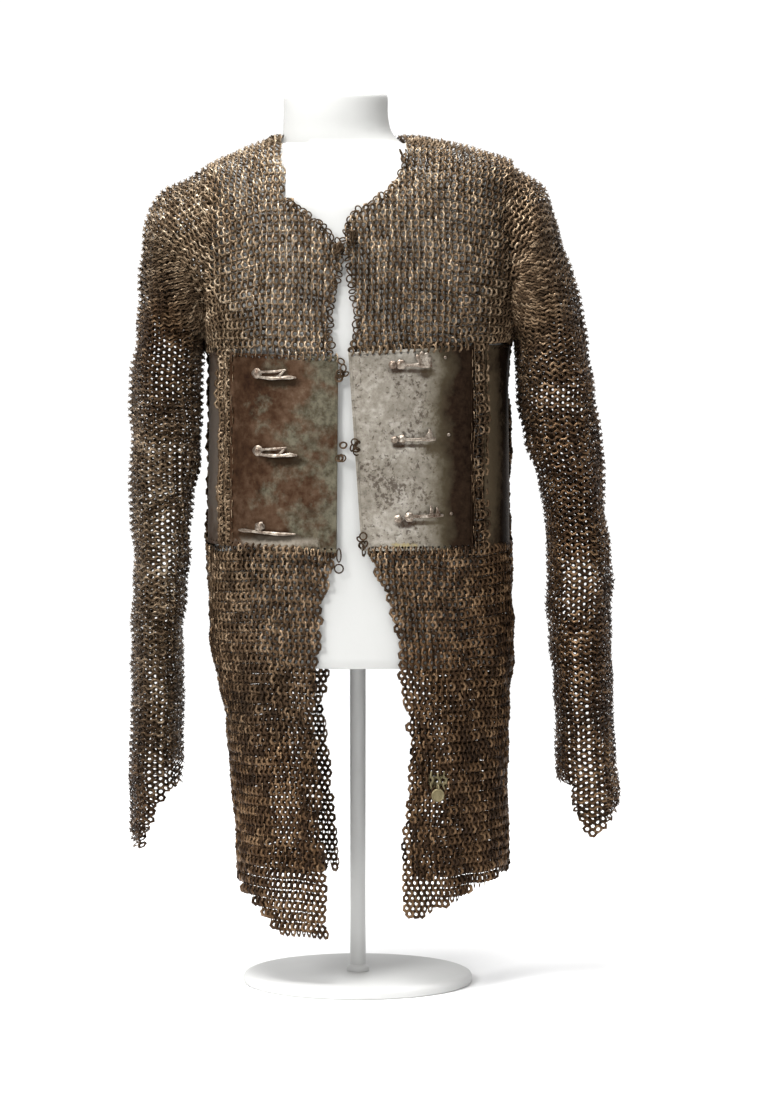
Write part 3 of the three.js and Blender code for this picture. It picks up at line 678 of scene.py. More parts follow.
class Shader:
    """A material being made, with one Principled shader."""

    def __init__(self, name, **constants):
        self.material = bpy.data.materials.new(name)
        self.material.use_nodes = True
        self.tree = self.material.node_tree
        self.surface = self.tree.nodes["Principled BSDF"]
        for socket, value in constants.items():
            self.surface.inputs[socket.replace("_", " ")].default_value = value

    def node(self, kind, settings=None, inputs=None, output=0):
        """A node of a kind, with its settings first and then the values or links of its sockets."""
        node = self.tree.nodes.new(kind)
        for key, value in (settings or {}).items():
            if key == "stops":
                ramp = node.color_ramp.elements
                while len(ramp) < len(value):
                    ramp.new(0.5)
                for element, (position, colour) in zip(ramp, value):
                    element.position = position
                    element.color = (*colour, 1.0) if len(colour) == 3 else colour
            else:
                setattr(node, key, value)
        for key, value in (inputs or {}).items():
            self.link(value, node.inputs[key])
        return Value(self, node.outputs[output])

    def link(self, value, socket):
        if isinstance(value, Value):
            self.tree.links.new(value.socket, socket)
        else:
            socket.default_value = value

    def feed(self, **inputs):
        for name, value in inputs.items():
            self.link(value, self.surface.inputs[name.replace("_", " ")])

    def place(self):
        return self.node("ShaderNodeTexCoord", output="Object")

    def across_mm(self):
        """Distance across the coat from the form's axis, in millimetres."""
        x = self.node("ShaderNodeSeparateXYZ", None, {"Vector": self.place()})
        return (x - float(AXIS[0])) * 1000.0

    def height_mm(self):
        """Height above the floor, in millimetres."""
        z = self.node("ShaderNodeSeparateXYZ", None, {"Vector": self.place()}, output="Z")
        return z * 1000.0

    def near(self, x, z, half_x, half_z):
        """Distance from a place on the front, in shares of two half sizes, in millimetres."""
        at = [float(v) for v in place((x, 0, z))]
        scale = (1000.0 / half_x, 0.0, 1000.0 / half_z)
        off = self.node("ShaderNodeVectorMath", {"operation": "SUBTRACT"}, {0: self.place(), 1: at})
        off = self.node("ShaderNodeVectorMath", {"operation": "MULTIPLY"}, {0: off, 1: scale})
        return self.node("ShaderNodeVectorMath", {"operation": "LENGTH"}, {0: off}, output="Value")

    def spot(self, x, z, half_x, half_z):
        """One at a place on the front, falling to nothing at two half sizes."""
        return self.ramp(self.near(x, z, half_x, half_z), [(0.35, (1, 1, 1)), (1.0, (0, 0, 0))])

    def noise(self, scale, detail=3.0, roughness=0.55, stretch=None):
        where = self.place()
        if stretch:
            where = self.node("ShaderNodeMapping", None, {"Vector": where, "Scale": stretch})
        return self.node("ShaderNodeTexNoise", None, {"Vector": where, "Scale": scale, "Detail": detail,
                                                      "Roughness": roughness})

    def patch(self, base, x, z, half_x, half_z, edge, shade):
        """A patch of one colour round a place on the front, with a ragged edge, used for stains, bare patches
        and painted shadows.
        """
        reach = self.near(x, z, half_x, half_z) + edge * 1.4 - 0.7
        return self.mix(self.ramp(reach, [(0.5, (0.85, 0.85, 0.85)), (1.0, (0, 0, 0))]), base, colour(*shade))

    def ramp(self, factor, stops):
        return self.node("ShaderNodeValToRGB", {"stops": stops}, {"Fac": factor})

    def mix(self, factor, first, second):
        return self.node("ShaderNodeMix", {"data_type": "RGBA"}, {0: factor, 6: first, 7: second}, output=2)

    def bump(self, height, strength, distance):
        return self.node("ShaderNodeBump", None,
                         {"Height": height, "Strength": strength, "Distance": distance})

    def attribute(self, name):
        return self.node("ShaderNodeAttribute", {"attribute_name": name}, output="Fac")


def colour(r, g, b):
    return (r, g, b, 1.0)


PLATE_EDGE = colour(0.3, 0.25, 0.19)


def mail_material():
    """Old iron rings: dark rust in patches and bare grey metal on some rings, with a darker copy of the
    colours mixed in as painted shade towards the bottom, the wearer's left and the top of the right sleeve.
    """
    shader = Shader("mail_iron", Metallic=0.75, Specular_IOR_Level=0.35)
    tone = shader.attribute("tone")
    patches = shader.noise(14.0, 4.0)
    grain = shader.noise(420.0, 2.0)
    mixed = tone * 0.5 + patches * 0.5 + grain * 0.3 - 0.15
    worn = shader.ramp(mixed, [(0.15, (0.044, 0.026, 0.013)), (0.42, (0.13, 0.087, 0.05)),
                               (0.62, (0.275, 0.203, 0.13)), (0.88, (0.6, 0.5, 0.37))])
    painted_shade_iron = shader.ramp(mixed, [(0.15, (0.012, 0.006, 0.0025)), (0.42, (0.038, 0.019, 0.008)),
                                (0.62, (0.088, 0.048, 0.022)), (0.88, (0.22, 0.138, 0.075))])
    across = shader.across_mm()
    # Painted shade: the share of the darker copy grows towards the bottom and the wearer's left, and the rust
    # patches add to it. There is a painted shade spot high on the right sleeve and a painted light spot low
    # on it.
    lower = 0.91 - shader.height_mm() * 0.001 + across * 0.0008 + across * across * 3.4e-6 + patches * 0.3
    lower = lower + shader.spot(-218, 740, 50, 120) * 0.45 - shader.spot(-225, 400, 50, 260) * 0.3
    base = shader.mix(shader.ramp(lower, [(0.0, (0, 0, 0)), (0.78, (1, 1, 1))]), worn, painted_shade_iron)
    shader.feed(Base_Color=base, Roughness=0.6 - tone * 0.22,
                Normal=shader.bump(grain, 0.35, 0.0006))
    return shader.material


def russet_material():
    """Rusted plate: red-brown with grey-green bare patches towards the opening, and painted shadows under the
    clasps.
    """
    shader = Shader("russet_plate", Metallic=0.55, Specular_IOR_Level=0.2, Specular_Tint=PLATE_EDGE)
    broad = shader.noise(15.0, 5.0, 0.62)
    fine = shader.noise(120.0, 4.0, 0.65)
    pits = shader.noise(320.0, 3.0, 0.7)
    rust = shader.ramp(broad * 0.7 + fine * 0.4 - 0.05,
                       [(0.28, (0.012, 0.005, 0.003)), (0.45, (0.034, 0.017, 0.009)),
                        (0.6, (0.066, 0.039, 0.024)), (0.75, (0.12, 0.088, 0.06))])
    bare = shader.ramp(fine * 0.8 + pits * 0.3 - 0.05,
                       [(0.35, (0.04, 0.036, 0.023)), (0.6, (0.11, 0.104, 0.075))])
    toward = shader.across_mm() * 0.003 + shader.noise(24.0, 6.0, 0.7) * 1.5 - 0.05
    base = shader.mix(shader.ramp(toward, [(0.46, (0, 0, 0)), (0.68, (0.85, 0.85, 0.85))]), rust, bare)
    ragged = shader.noise(70.0, 5.0, 0.75)
    base = shader.patch(base, -90, 516, 50, 9, ragged, (0.25, 0.22, 0.18))
    # Painted shadow: a dark band under each clasp.
    for x, z, half in ((-86, 696, 32), (-84, 608, 32), (-98, 522, 46)):
        base = shader.patch(base, x, z, half, 7.5, ragged, (0.01, 0.006, 0.003))
    base = shader.patch(base, -163, 620, 12, 140, ragged, (0.12, 0.1, 0.083))
    shader.feed(Base_Color=base, Roughness=0.4 + fine * 0.25,
                Normal=shader.bump(pits + fine * 0.6, 0.3, 0.0008))
    return shader.material


GREY_STAINS_AND_SHADOWS = [
    # x, z, half width, half height: rust stains and painted shadow round the knobs, painted shadows under the
    # levers, and stains at their far ends
    (46, 711, 12, 6),
    (66, 709, 24, 3.5),
    (78, 706, 12, 7),
    (47, 626, 10, 5),
    (66, 625, 24, 3),
    (86, 622, 13, 9),
    (54, 537, 14, 7),
    (76, 538, 20, 3.5),
    (101, 544, 12, 10),
]


def grey_material():
    """Bright steel with dark pits, going olive and then dark brown towards the wearer's side, partly patina
    and partly painted shade.
    """
    shader = Shader("grey_plate", Metallic=0.7, Specular_IOR_Level=0.2, Specular_Tint=PLATE_EDGE)
    broad = shader.noise(18.0, 5.0, 0.6)
    fine = shader.noise(150.0, 4.0, 0.65)
    pits = shader.noise(300.0, 3.0, 0.7)
    steel = shader.ramp(broad * 0.6 + fine * 0.5 - 0.05,
                        [(0.3, (0.12, 0.105, 0.083)), (0.5, (0.25, 0.225, 0.187)),
                         (0.7, (0.44, 0.412, 0.365))])
    brown = shader.ramp(fine * 0.7 + broad * 0.3, [(0.3, (0.006, 0.003, 0.002)), (0.7, (0.03, 0.018, 0.011))])
    spots = shader.noise(230.0, 3.0, 0.65) * 0.8 + shader.noise(30.0, 2.0) * 0.4 - 0.1
    spots = spots + shader.spot(34, 584, 24, 30) * 0.07
    base = shader.mix(shader.ramp(spots, [(0.54, (0, 0, 0)), (0.64, (0.8, 0.8, 0.8))]), steel,
                      colour(0.06, 0.045, 0.035))
    ragged = shader.noise(70.0, 5.0, 0.75)
    # Rust stains and painted shadows round the clasps.
    for x, z, half_x, half_z in GREY_STAINS_AND_SHADOWS:
        base = shader.patch(base, x, z, half_x, half_z, ragged, (0.026, 0.013, 0.007))
    # Olive and then dark brown towards the wearer's side: partly patina, partly painted shade and dark
    # reflection.
    toward = shader.across_mm() * 0.005 + broad * 0.3 - 0.15
    olive = colour(0.085, 0.07, 0.044)
    base = shader.mix(shader.ramp(toward, [(0.34, (0, 0, 0)), (0.48, (1, 1, 1))]), base, olive)
    base = shader.mix(shader.ramp(toward, [(0.43, (0, 0, 0)), (0.54, (1, 1, 1))]), base, brown)
    base = shader.patch(base, 152, 620, 15, 150, ragged, (0.105, 0.08, 0.05))
    flecks = shader.noise(150.0, 3.0, 0.8) * 3.4 - 1.1
    base = shader.patch(base, 52, 513, 18, 3.5, flecks, (0.33, 0.27, 0.14))
    shader.feed(Base_Color=base, Roughness=0.3 + fine * 0.25,
                Normal=shader.bump(pits + fine * 0.6, 0.28, 0.0008))
    return shader.material


def clasp_material():
    """Old steel with rust in the hollows and round the knobs."""
    shader = Shader("clasp_steel", Metallic=0.75, Specular_IOR_Level=0.4)
    rust = shader.noise(95.0, 4.0, 0.7)
    fine = shader.noise(600.0, 3.0)
    base = shader.ramp(rust * 0.8 + fine * 0.25, [(0.38, (0.045, 0.023, 0.013)), (0.52, (0.16, 0.128, 0.1)),
                                                  (0.68, (0.42, 0.375, 0.315))])
    shader.feed(Base_Color=base, Roughness=0.6 - rust * 0.5,
                Normal=shader.bump(fine + rust * 2.0, 0.3, 0.0005))
    return shader.material


def plain_material(name, base, roughness, metallic=0.0, wear=0.06, scale=90.0):
    shader = Shader(name, Metallic=metallic)
    mottle = shader.noise(scale, 4.0)
    dark = tuple(v * (1 - wear) for v in base)
    shader.feed(Base_Color=shader.mix(mottle, colour(*base), colour(*dark)),
                Roughness=roughness + mottle * 0.12,
                Normal=shader.bump(shader.noise(scale * 9, 3.0), 0.15, 0.0004))
    return shader.material


MAIL = mail_material()
RUSSET = russet_material()
GREY = grey_material()
CLASP = clasp_material()
BRASS = plain_material("old_brass", (0.21, 0.175, 0.095), 0.45, 0.8, 0.5, 200.0)
FORM = plain_material("form_white", (0.4, 0.4, 0.389), 0.6, 0.0, 0.02, 30.0)
STAND = plain_material("stand_white", (0.5, 0.5, 0.49), 0.45, 0.0, 0.02, 30.0)


def finish(obj, material, slot, *nodes):
    obj.data.materials.clear()
    obj.data.materials.append(material)
    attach(obj, "root")
    if nodes:
        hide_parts(*nodes)
    return obj


SEAL = {"x": 90.0, "z": 230.0, "radius": 7.5}

# Mail panels


def mail_panel(name, rings, lean=RING_LEAN, ring=RING):
    panel = finish(joined_rings(name, rings, lean, ring), MAIL, "mail", name.replace("mail_", ""))


def skirt_panel(name, rings, lean=FRONT_SKIRT_LEAN):
    mail_panel(name, rings, lean=lean, ring=SKIRT_RING)


# Outlines of the panels in the front view
OUTLINES = {
    "skirt_front_right": [(-184, 511)] + RIGHT_SKIRT_EDGE + RIGHT_FRONT_HEM,
    "skirt_front_left": [(200, 508)] + LEFT_SKIRT_EDGE + LEFT_FRONT_HEM,
    "skirt_back_right": [(-184, 511)] + RIGHT_VENT_EDGE + RIGHT_BACK_HEM,
    "skirt_back_left": [(200, 511)] + LEFT_VENT_EDGE + LEFT_BACK_HEM,
    "yoke_front_right": RIGHT_NECKLINE + [(-145, 730), (-174, 731)] + RIGHT_ARMHOLE[::-1],
    "yoke_front_left": LEFT_NECKLINE + [(132, 738), (177.5, 739)] + LEFT_ARMHOLE[::-1],
    "back_body": RIGHT_ARMHOLE + [(-174, 505), (177.5, 505)] + LEFT_ARMHOLE[::-1],
    "sleeve_front_right": RIGHT_SLEEVE_HEAD + [(-180, 560), (-180, 300)] + RIGHT_CUFF_FRONT
                          + [(-400, 200), (-400, 1000)],
    "sleeve_back_right": RIGHT_SLEEVE_HEAD + [(-180, 560), (-180, 300)] + RIGHT_CUFF_BACK
                         + [(-400, 200), (-400, 1000)],
    "sleeve_left": LEFT_SLEEVE_HEAD + [(190, 560), (190, 300)] + LEFT_CUFF + [(400, 222), (400, 1000)],
}
RAGGED = 0.9


def within(name, side):
    """A test for rings inside a panel's outline, on the front (-1) or the back (1)."""
    outline = OUTLINES[name]

    def test(centre):
        ragged = rng.normal(0, RAGGED, len(centre))
        fits = inside(outline, centre[:, 0] + ragged, centre[:, 2] + ragged)
        seam = np.where(centre[:, 2] > SHOULDER_Z, SHOULDER_SEAM_Y, SEAM_Y)
        return fits & ((centre[:, 1] - seam) * side > 0)

    return test


def add_skirts():
    net = body_net(WAIST_Z, 68.0)
    skirt_panel("mail_skirt_front_right", net.keep(within("skirt_front_right", -1)))
    rings = net.keep(within("skirt_front_left", -1))
    near = (np.abs(rings[0][:, 0] - SEAL["x"] + 1) < 10) & (np.abs(rings[0][:, 2] - SEAL["z"] - 17) < 11)
    by_seal = tuple(values[near] for values in rings)
    brass = joined_rings("mail_brass_rings", by_seal, FRONT_SKIRT_LEAN, SKIRT_RING)
    finish(brass, BRASS, "old_brass")
    skirt_panel("mail_skirt_front_left", tuple(values[~near] for values in rings))
    for side in ("right", "left"):
        rings = net.keep(within("skirt_back_" + side, 1))
        skirt_panel("mail_skirt_back_" + side, rings, BACK_SKIRT_LEAN)


def add_yokes():
    net = yoke_net(-1, YOKE_Z)
    mail_panel("mail_yoke_front_right", net.keep(within("yoke_front_right", -1)))
    mail_panel("mail_yoke_front_left", net.keep(within("yoke_front_left", -1)))


def clear_of_neck(centre):
    x = (centre[:, 0] - NECK_HOLE["x"]) / NECK_HOLE["half_x"]
    y = (centre[:, 1] - NECK_HOLE["y"]) / NECK_HOLE["half_y"]
    return x * x + y * y > 1


def add_back():
    upper = yoke_net(1, YOKE_Z, BACK_ROW)
    lower = body_net(YOKE_Z, YOKE_Z - BACK_ROWS * BACK_ROW, BACK_ROW)
    in_back = within("back_body", 1)
    top = upper.keep(lambda centre: in_back(centre) & clear_of_neck(centre))
    low = lower.keep(lambda centre: in_back(centre) & (centre[:, 2] < YOKE_Z - 1))
    rings = tuple(np.concatenate([a, b]) for a, b in zip(top, low))
    mail_panel("mail_back_body", rings)


def add_sleeves():
    front = within("sleeve_front_right", -1)
    back = within("sleeve_back_right", 1)
    rings = sleeve_net(RIGHT_SLEEVE).keep(lambda centre: front(centre) | back(centre))
    mail_panel("mail_sleeve_right", rings, RIGHT_SLEEVE_LEAN)
    front = within("sleeve_left", -1)
    back = within("sleeve_left", 1)
    rings = sleeve_net(LEFT_SLEEVE).keep(lambda centre: front(centre) | back(centre))
    mail_panel("mail_sleeve_left", rings,
               LEFT_SLEEVE_LEAN)


def add_strips():
    net = body_net(734.0, WAIST_Z + 2)
    right = [(RIGHT_PLATE["side"] - 3, 507), (RIGHT_PLATE["outer"] + 3, 507), (RIGHT_PLATE["outer"] + 3, 731),
             (RIGHT_PLATE["side"] - 3, 731)]
    left = [(LEFT_PLATE["outer"] - 3, 505), (LEFT_PLATE["side"] + 3, 505), (LEFT_PLATE["side"] + 3, 739),
            (LEFT_PLATE["outer"] - 3, 739)]
    for name, outline in (("mail_strip_right", right), ("mail_strip_left", left)):
        rings = net.keep(lambda centre: inside(outline, centre[:, 0], centre[:, 2]) & (centre[:, 1] < 0))
        mail_panel(name, rings)


# Plates

RIM_WIDTH = 3.4
RIM_LIFT = 0.8
HOLE_RADIUS = 1.5
HOLE_INSET = 3.6
HOLE_PITCH = 7.6
PLATE_THICK = 1.8
SIDE_COLUMNS = 26
SIDE_ROWS = 26
FRONT_COLUMNS = 26
FRONT_ROWS = 34
FIRST_HOLE = 6.0


def grid_shell(name, outer, thickness):
    """A thin plate with a grid of outer points, thickened inwards."""
    rows, cols = outer.shape[:2]
    index = np.arange(rows * cols).reshape(rows, cols)
    faces = np.stack([index[:-1, :-1], index[:-1, 1:], index[1:, 1:], index[1:, :-1]], -1).reshape(-1, 4)
    obj = array_mesh(name, place(outer.reshape(-1, 3)), faces)
    choose(obj)
    solid = obj.modifiers.new("thickness", "SOLIDIFY")
    solid.thickness = thickness * MM
    solid.offset = -1
    bpy.ops.object.modifier_apply(modifier=solid.name)
    return obj


def steps_with_rim(length, count):
    """Distances over a plate, close together where the rim rises at both ends."""
    rim = np.array([0, 0.5, 1.0, RIM_WIDTH - 0.6, RIM_WIDTH])
    middle = np.linspace(RIM_WIDTH, length - RIM_WIDTH, count)[1:-1]
    return np.concatenate([rim, middle, length - rim[::-1]])


def rim_lift(distance, length):
    edge = np.minimum(distance, length - distance)
    rise = RIM_LIFT * (1 - smooth_step(RIM_WIDTH - 0.7, RIM_WIDTH, edge))
    return rise - 0.3 * (1 - smooth_step(0, 0.6, edge))


def dents(x, z):
    """Slight unevenness of a hammered plate."""
    return 0.35 * np.sin(x * 0.11 + 1.3) * np.sin(z * 0.071 + 0.4) + 0.2 * np.sin(x * 0.19 - z * 0.13)


def cut_holes(obj, centres):
    """Round holes through a plate at points of its front view edges, cut square to the plate."""
    cutter = Parts()
    for point, out in centres:
        right = unit(np.cross((0.0, 0.0, 1.0), out))
        up = np.cross(out, right)
        turn = np.linspace(0, 2 * math.pi, 8, endpoint=False)
        circle = HOLE_RADIUS * (np.cos(turn)[:, None] * right + np.sin(turn)[:, None] * up)
        cutter.skin([point - 6 * out + circle, point + 6 * out + circle])
    tool = cutter.build("holes")
    choose(obj)
    cut = obj.modifiers.new("holes", "BOOLEAN")
    cut.object = tool
    bpy.ops.object.modifier_apply(modifier=cut.name)
    bpy.data.objects.remove(tool)
    choose(obj)
    bpy.ops.object.shade_smooth_by_angle(angle=math.radians(35))


def front_plate(name, plate, material, slot, node):
    width = abs(plate["outer"] - plate["edge_top"])
    height = plate["top_z"] - plate["bottom_z"]
    reach = steps_with_rim(width, FRONT_COLUMNS)[None, :]
    fall = steps_with_rim(height, FRONT_ROWS)[:, None]
    across = reach / width
    down = fall / height

    def spot(across, down):
        edge_x = plate["edge_top"] + (plate["edge_bottom"] - plate["edge_top"]) * down
        x = edge_x + (plate["outer"] - edge_x) * across
        top = plate["top_edge_z"] + (plate["top_z"] - plate["top_edge_z"]) * across
        bottom = plate["bottom_edge_z"] + (plate["bottom_z"] - plate["bottom_edge_z"]) * across
        return x, top + (bottom - top) * down

    x, z = spot(across, down)
    lift = rim_lift(fall, height) + 0.6 * rim_lift(reach, width) + dents(x, z) - 0.4
    outer = np.stack([x, face(-1, x, z, 0.0) - lift, z], -1)
    if plate["outer"] < 0:
        outer = outer[:, ::-1]
    obj = grid_shell(name, outer[::-1], PLATE_THICK)
    holes = []
    for down_share in (HOLE_INSET / height, 1 - HOLE_INSET / height):
        for reach_mm in np.arange(FIRST_HOLE, width - 3.0, HOLE_PITCH):
            hx, hz = spot(reach_mm / width, down_share)
            point, _, _, out = on_front(hx, hz, 0.0)
            holes.append((point, out))
    cut_holes(obj, holes)
    return finish(obj, material, slot, node)


def side_plate(name, plate, material, slot, node):
    sign = -1 if plate["outer"] < 0 else 1
    turn = np.linspace(0, math.pi, 2000) * sign
    top = plate["top_z"]
    height = top - plate["bottom_z"] - 0.3
    outer = []
    holes = []
    fall = steps_with_rim(height, SIDE_ROWS)
    for distance in fall:
        z = top - distance
        points = body_section(z, turn, 0.0)
        start = np.argmax(np.abs(points[:, 0]) > abs(plate["side"]))
        stop = np.argmax(points[:, 1] > SEAM_Y - 0.2)
        chosen = points[np.linspace(start, stop, SIDE_COLUMNS).astype(int)]
        out = unit(np.cross(np.gradient(chosen, axis=0), (0.0, 0.0, 1.0)) * sign)
        outer.append(chosen + out * (rim_lift(distance, height) - 0.4))
    outer = np.array(outer)
    for distance in (HOLE_INSET, height - HOLE_INSET):
        row = outer[np.argmin(np.abs(fall - distance))]
        out = unit(np.cross(np.gradient(row, axis=0), (0.0, 0.0, 1.0)) * sign)
        for i in range(2, SIDE_COLUMNS - 1, 3):
            point = row[i].copy()
            point[2] = top - distance
            holes.append((point, out[i]))
    if sign < 0:
        outer = outer[:, ::-1]
    obj = grid_shell(name, outer[::-1], PLATE_THICK)
    cut_holes(obj, holes)
    return finish(obj, material, slot, node)


def add_plates():
    front_plate("plate_breast_right", RIGHT_PLATE, RUSSET, "russet_plate", "plate_front_right")
    front_plate("plate_breast_left", LEFT_PLATE, GREY, "grey_plate", "plate_front_left")
    side_plate("plate_flank_right", RIGHT_PLATE, RUSSET, "russet_plate", "plate_side_right")
    side_plate("plate_flank_left", LEFT_PLATE, GREY, "grey_plate", "plate_side_left")


def edge_row(net, xs, zs, row):
    """A row of rings that hold a plate's edge to the mail."""
    centre = np.stack([xs, face(-1, xs, zs, 1.0), zs], -1)
    ahead = np.stack([xs + 1, face(-1, xs + 1, zs, 1.0), zs], -1)
    above = np.stack([xs, face(-1, xs, zs + 1, 1.0), zs + 1], -1)
    along = ahead - centre
    net.add(centre, along, np.cross(along, above - centre), row)


def add_plate_links():
    """Rings along the upper and lower edges of the plates and beside the strips."""
    net = Net()
    for plate in (RIGHT_PLATE, LEFT_PLATE):
        sign = math.copysign(1, plate["outer"])
        reach = np.arange(3.0, abs(plate["outer"] - plate["edge_top"]), HOLE_PITCH)
        share = reach / abs(plate["outer"] - plate["edge_top"])
        xs = plate["edge_top"] + reach * sign
        edge_row(net, xs, plate["top_edge_z"] + (plate["top_z"] - plate["top_edge_z"]) * share + 0.5, 0)
        xs = plate["edge_bottom"] + (plate["outer"] - plate["edge_bottom"]) * share
        drop = (plate["bottom_z"] - plate["bottom_edge_z"]) * share
        edge_row(net, xs, plate["bottom_edge_z"] + drop - 0.5, 1)
        zs = np.arange(plate["bottom_z"] + 6, plate["top_z"] - 3, BODY_ROW)
        for x in (plate["outer"] + 1.0 * sign, plate["side"] - 1.0 * sign):
            edge_row(net, np.full(len(zs), x), zs, 1)
    rings = net.keep(lambda centre: np.ones(len(centre), bool))
    obj = joined_rings("mail_plate_links", rings)
    finish(obj, MAIL, "mail")


# Clasps

# Shapes of the clasps, from their first knob: x, z, lift, half width, half height
CLASP_KNOBS = [
    # node, x, z, dx, dz, radius, flutes
    ("clasp_right_upper", -112, 706, 0, 0, 5.3, 4),
    ("clasp_right_middle", -111, 619, 0, 0, 5.6, 4),
    ("clasp_right_lower", -109, 533, 0, 0, 5.3, 5),
    ("clasp_left_upper", 40, 716, 0, 0, 4.6, 6),
    ("clasp_left_upper", 40, 716, 9, 0.5, 5.4, 6),
    ("clasp_left_middle", 42, 632, 0, 0, 4.2, 5),
    ("clasp_left_middle", 42, 632, 8.5, 1, 4.6, 5),
    ("clasp_left_lower", 46, 543, 0, 0, 4.6, 5),
    ("clasp_left_lower", 46, 543, 12.5, 2, 5.2, 6),
]
LEVER = [(-3, -2.5, 1.4, 2.0, 1.0), (6, -4.4, 1.9, 1.3, 0.9), (16, -5.2, 2.4, 1.8, 1.1),
         (27, -5, 2.3, 1.4, 1.0), (36, -4.2, 1.9, 1.9, 1.0), (44, -4.6, 1.3, 0.8, 0.6)]
TWIG = [(2, 1, 1.8, 1.5, 0.9), (10, 1.8, 2.4, 1.1, 0.9), (22, 2.4, 2.8, 1.4, 0.9), (33, 4.2, 2.0, 0.7, 0.6)]
WEB = [(23, -4.6, 2.2, 1.5, 0.8), (27, -1, 2.4, 1.3, 0.8), (31, 3.4, 2.1, 1.0, 0.6)]
LOW_LEVER = [(-24, -4.4, 1.3, 0.8, 0.6), (-18, -4.6, 1.7, 1.8, 1.0), (-8, -5.2, 2.1, 1.4, 1.0),
             (8, -6.4, 2.3, 1.5, 1.0), (24, -7.4, 2.3, 1.7, 1.0), (40, -7.4, 1.5, 0.8, 0.6)]
CLASP_BARS = [
    ("clasp_right_upper", -112, 706, LEVER),
    ("clasp_right_upper", -112, 706, TWIG),
    ("clasp_right_upper", -112, 706, WEB),
    ("clasp_right_middle", -111, 619, LEVER),
    ("clasp_right_middle", -111, 619, TWIG),
    ("clasp_right_middle", -111, 619, WEB),
    ("clasp_right_lower", -109, 533, LOW_LEVER),
    ("clasp_left_upper", 40, 716, [(9, 0, 2, 2.4, 1.2), (16, -0.4, 2.6, 1.3, 1.1), (25, -0.2, 2.8, 1.6, 1.1),
                                   (33, 0, 2.6, 3.2, 1.3), (43, 0.5, 1.8, 2.6, 1.0)]),
    ("clasp_left_middle", 42, 632, [(8, 0.5, 2, 2.4, 1.2), (15, 0, 2.6, 1.5, 1.1), (27, 0.2, 2.8, 1.7, 1.1),
                                    (38, 0.6, 2.4, 2.2, 1.2), (45, 1, 1.6, 1.6, 0.9)]),
    ("clasp_left_middle", 42, 632, [(37, 1, 2.6, 4.0, 1.1), (38, 5, 2.6, 3.2, 1.0), (39, 9, 2.3, 1.9, 0.8),
                                    (37.5, 12, 1.8, 0.6, 0.5)]),
    ("clasp_left_lower", 46, 543, [(12, 2, 2, 2.6, 1.2), (19, 2.8, 2.7, 1.6, 1.1), (30, 3.0, 2.8, 1.6, 1.1),
                                   (42, 3.4, 2.4, 1.9, 1.1), (50, 3.6, 1.6, 1.0, 0.8)]),
    ("clasp_left_lower", 46, 543, [(36, 4, 2.6, 2.2, 1.0), (36.5, 9, 2.6, 1.8, 0.9),
                                   (36, 15, 1.8, 0.7, 0.5)]),
    ("clasp_left_lower", 46, 543, [(43, 4, 2.5, 2.4, 1.0), (43.5, 8, 2.4, 1.9, 0.9),
                                   (43, 13, 1.8, 0.7, 0.5)]),
]
SHELL_RIBS = [(8, 13), (32, 15), (57, 16), (82, 15), (107, 12)]


def add_clasps():
    clasps = {}
    for node, x, z, dx, dz, radius, flutes in CLASP_KNOBS:
        parts = clasps.setdefault(node, Parts())
        knob(parts, x + dx, z + dz, radius, flutes)
    for node, x, z, rows in CLASP_BARS:
        bar(clasps[node], x, z, rows)
    for turn, length in SHELL_RIBS:
        c = math.cos(math.radians(turn))
        s = math.sin(math.radians(turn))
        rib = [(30 + c * reach, s * reach, 2.8 - 0.05 * reach, 0.9 + 0.13 * reach, 1.0)
               for reach in (0, length * 0.4, length * 0.8)]
        rib.append((30 + c * length, s * length, 1.8, 0.8, 0.5))
        bar(clasps["clasp_left_upper"], 40, 716, rib)
    for node, parts in clasps.items():
        finish(parts.build(node + "_worked"), CLASP, "clasp_steel", node)
    rivets = Parts()
    for x, z in ((99, 724), (103, 637), (106, 548)):
        turned(rivets, x, z, -0.4, 1.9, [(1, 0), (0.95, 0.7), (0.6, 1.3), (0.15, 1.5)], 12)
    finish(rivets.build("plate_rivets"), CLASP, "clasp_steel")


# Seal and loose rings

CLUSTERS = [
    # x, z, half width, half height, count, ring radius
    (-17, 711, 4, 13, 8, 3.9),
    (-18, 618, 3, 9, 6, 3.8),
    (-3, 621, 3, 9, 6, 3.8),
    (6, 518, 3, 8, 5, 4.0),
    (-20, 845, 3, 4, 7, 4.0),
    (-6, 857, 4, 7, 9, 4.0),
]


def add_seal():
    parts = Parts()
    profile = [(0.96, 0.0), (1.0, 0.5), (1.0, 1.6), (0.93, 2.1), (0.84, 2.0), (0.78, 1.5),
               (0.4, 1.7), (0.05, 1.8)]
    turned(parts, SEAL["x"], SEAL["z"], 2.6, SEAL["radius"], profile, 40)
    centre, right, up, out = on_front(SEAL["x"], SEAL["z"] + SEAL["radius"] + 2.5, 3.4)
    loose_ring(parts, centre, out, up, 3.4, 0.8)
    finish(parts.build("seal_disc"), BRASS, "old_brass", "brass_seal")


def skewed(right, up, out, spread):
    """The three directions turned at random by up to a spread of angles."""
    a, b = rng.uniform(-spread, spread, 2)
    right = right * math.cos(a) + out * math.sin(a)
    up = unit(up * math.cos(b) + out * math.sin(b))
    return unit(right - up * float(np.dot(right, up))), up


def along_line(line, spacing):
    """Points at even spacing along a line of the front view, with the side on its left."""
    points = np.array(line, float)
    length = np.concatenate([[0], np.cumsum(np.linalg.norm(np.diff(points, axis=0), axis=1))])
    at = np.arange(spacing / 2, length[-1], spacing)
    spots = np.stack([np.interp(at, length, points[:, k]) for k in range(2)], -1)
    ahead = np.stack([np.interp(at + 1, length, points[:, k]) for k in range(2)], -1)
    return spots, unit(ahead - spots)


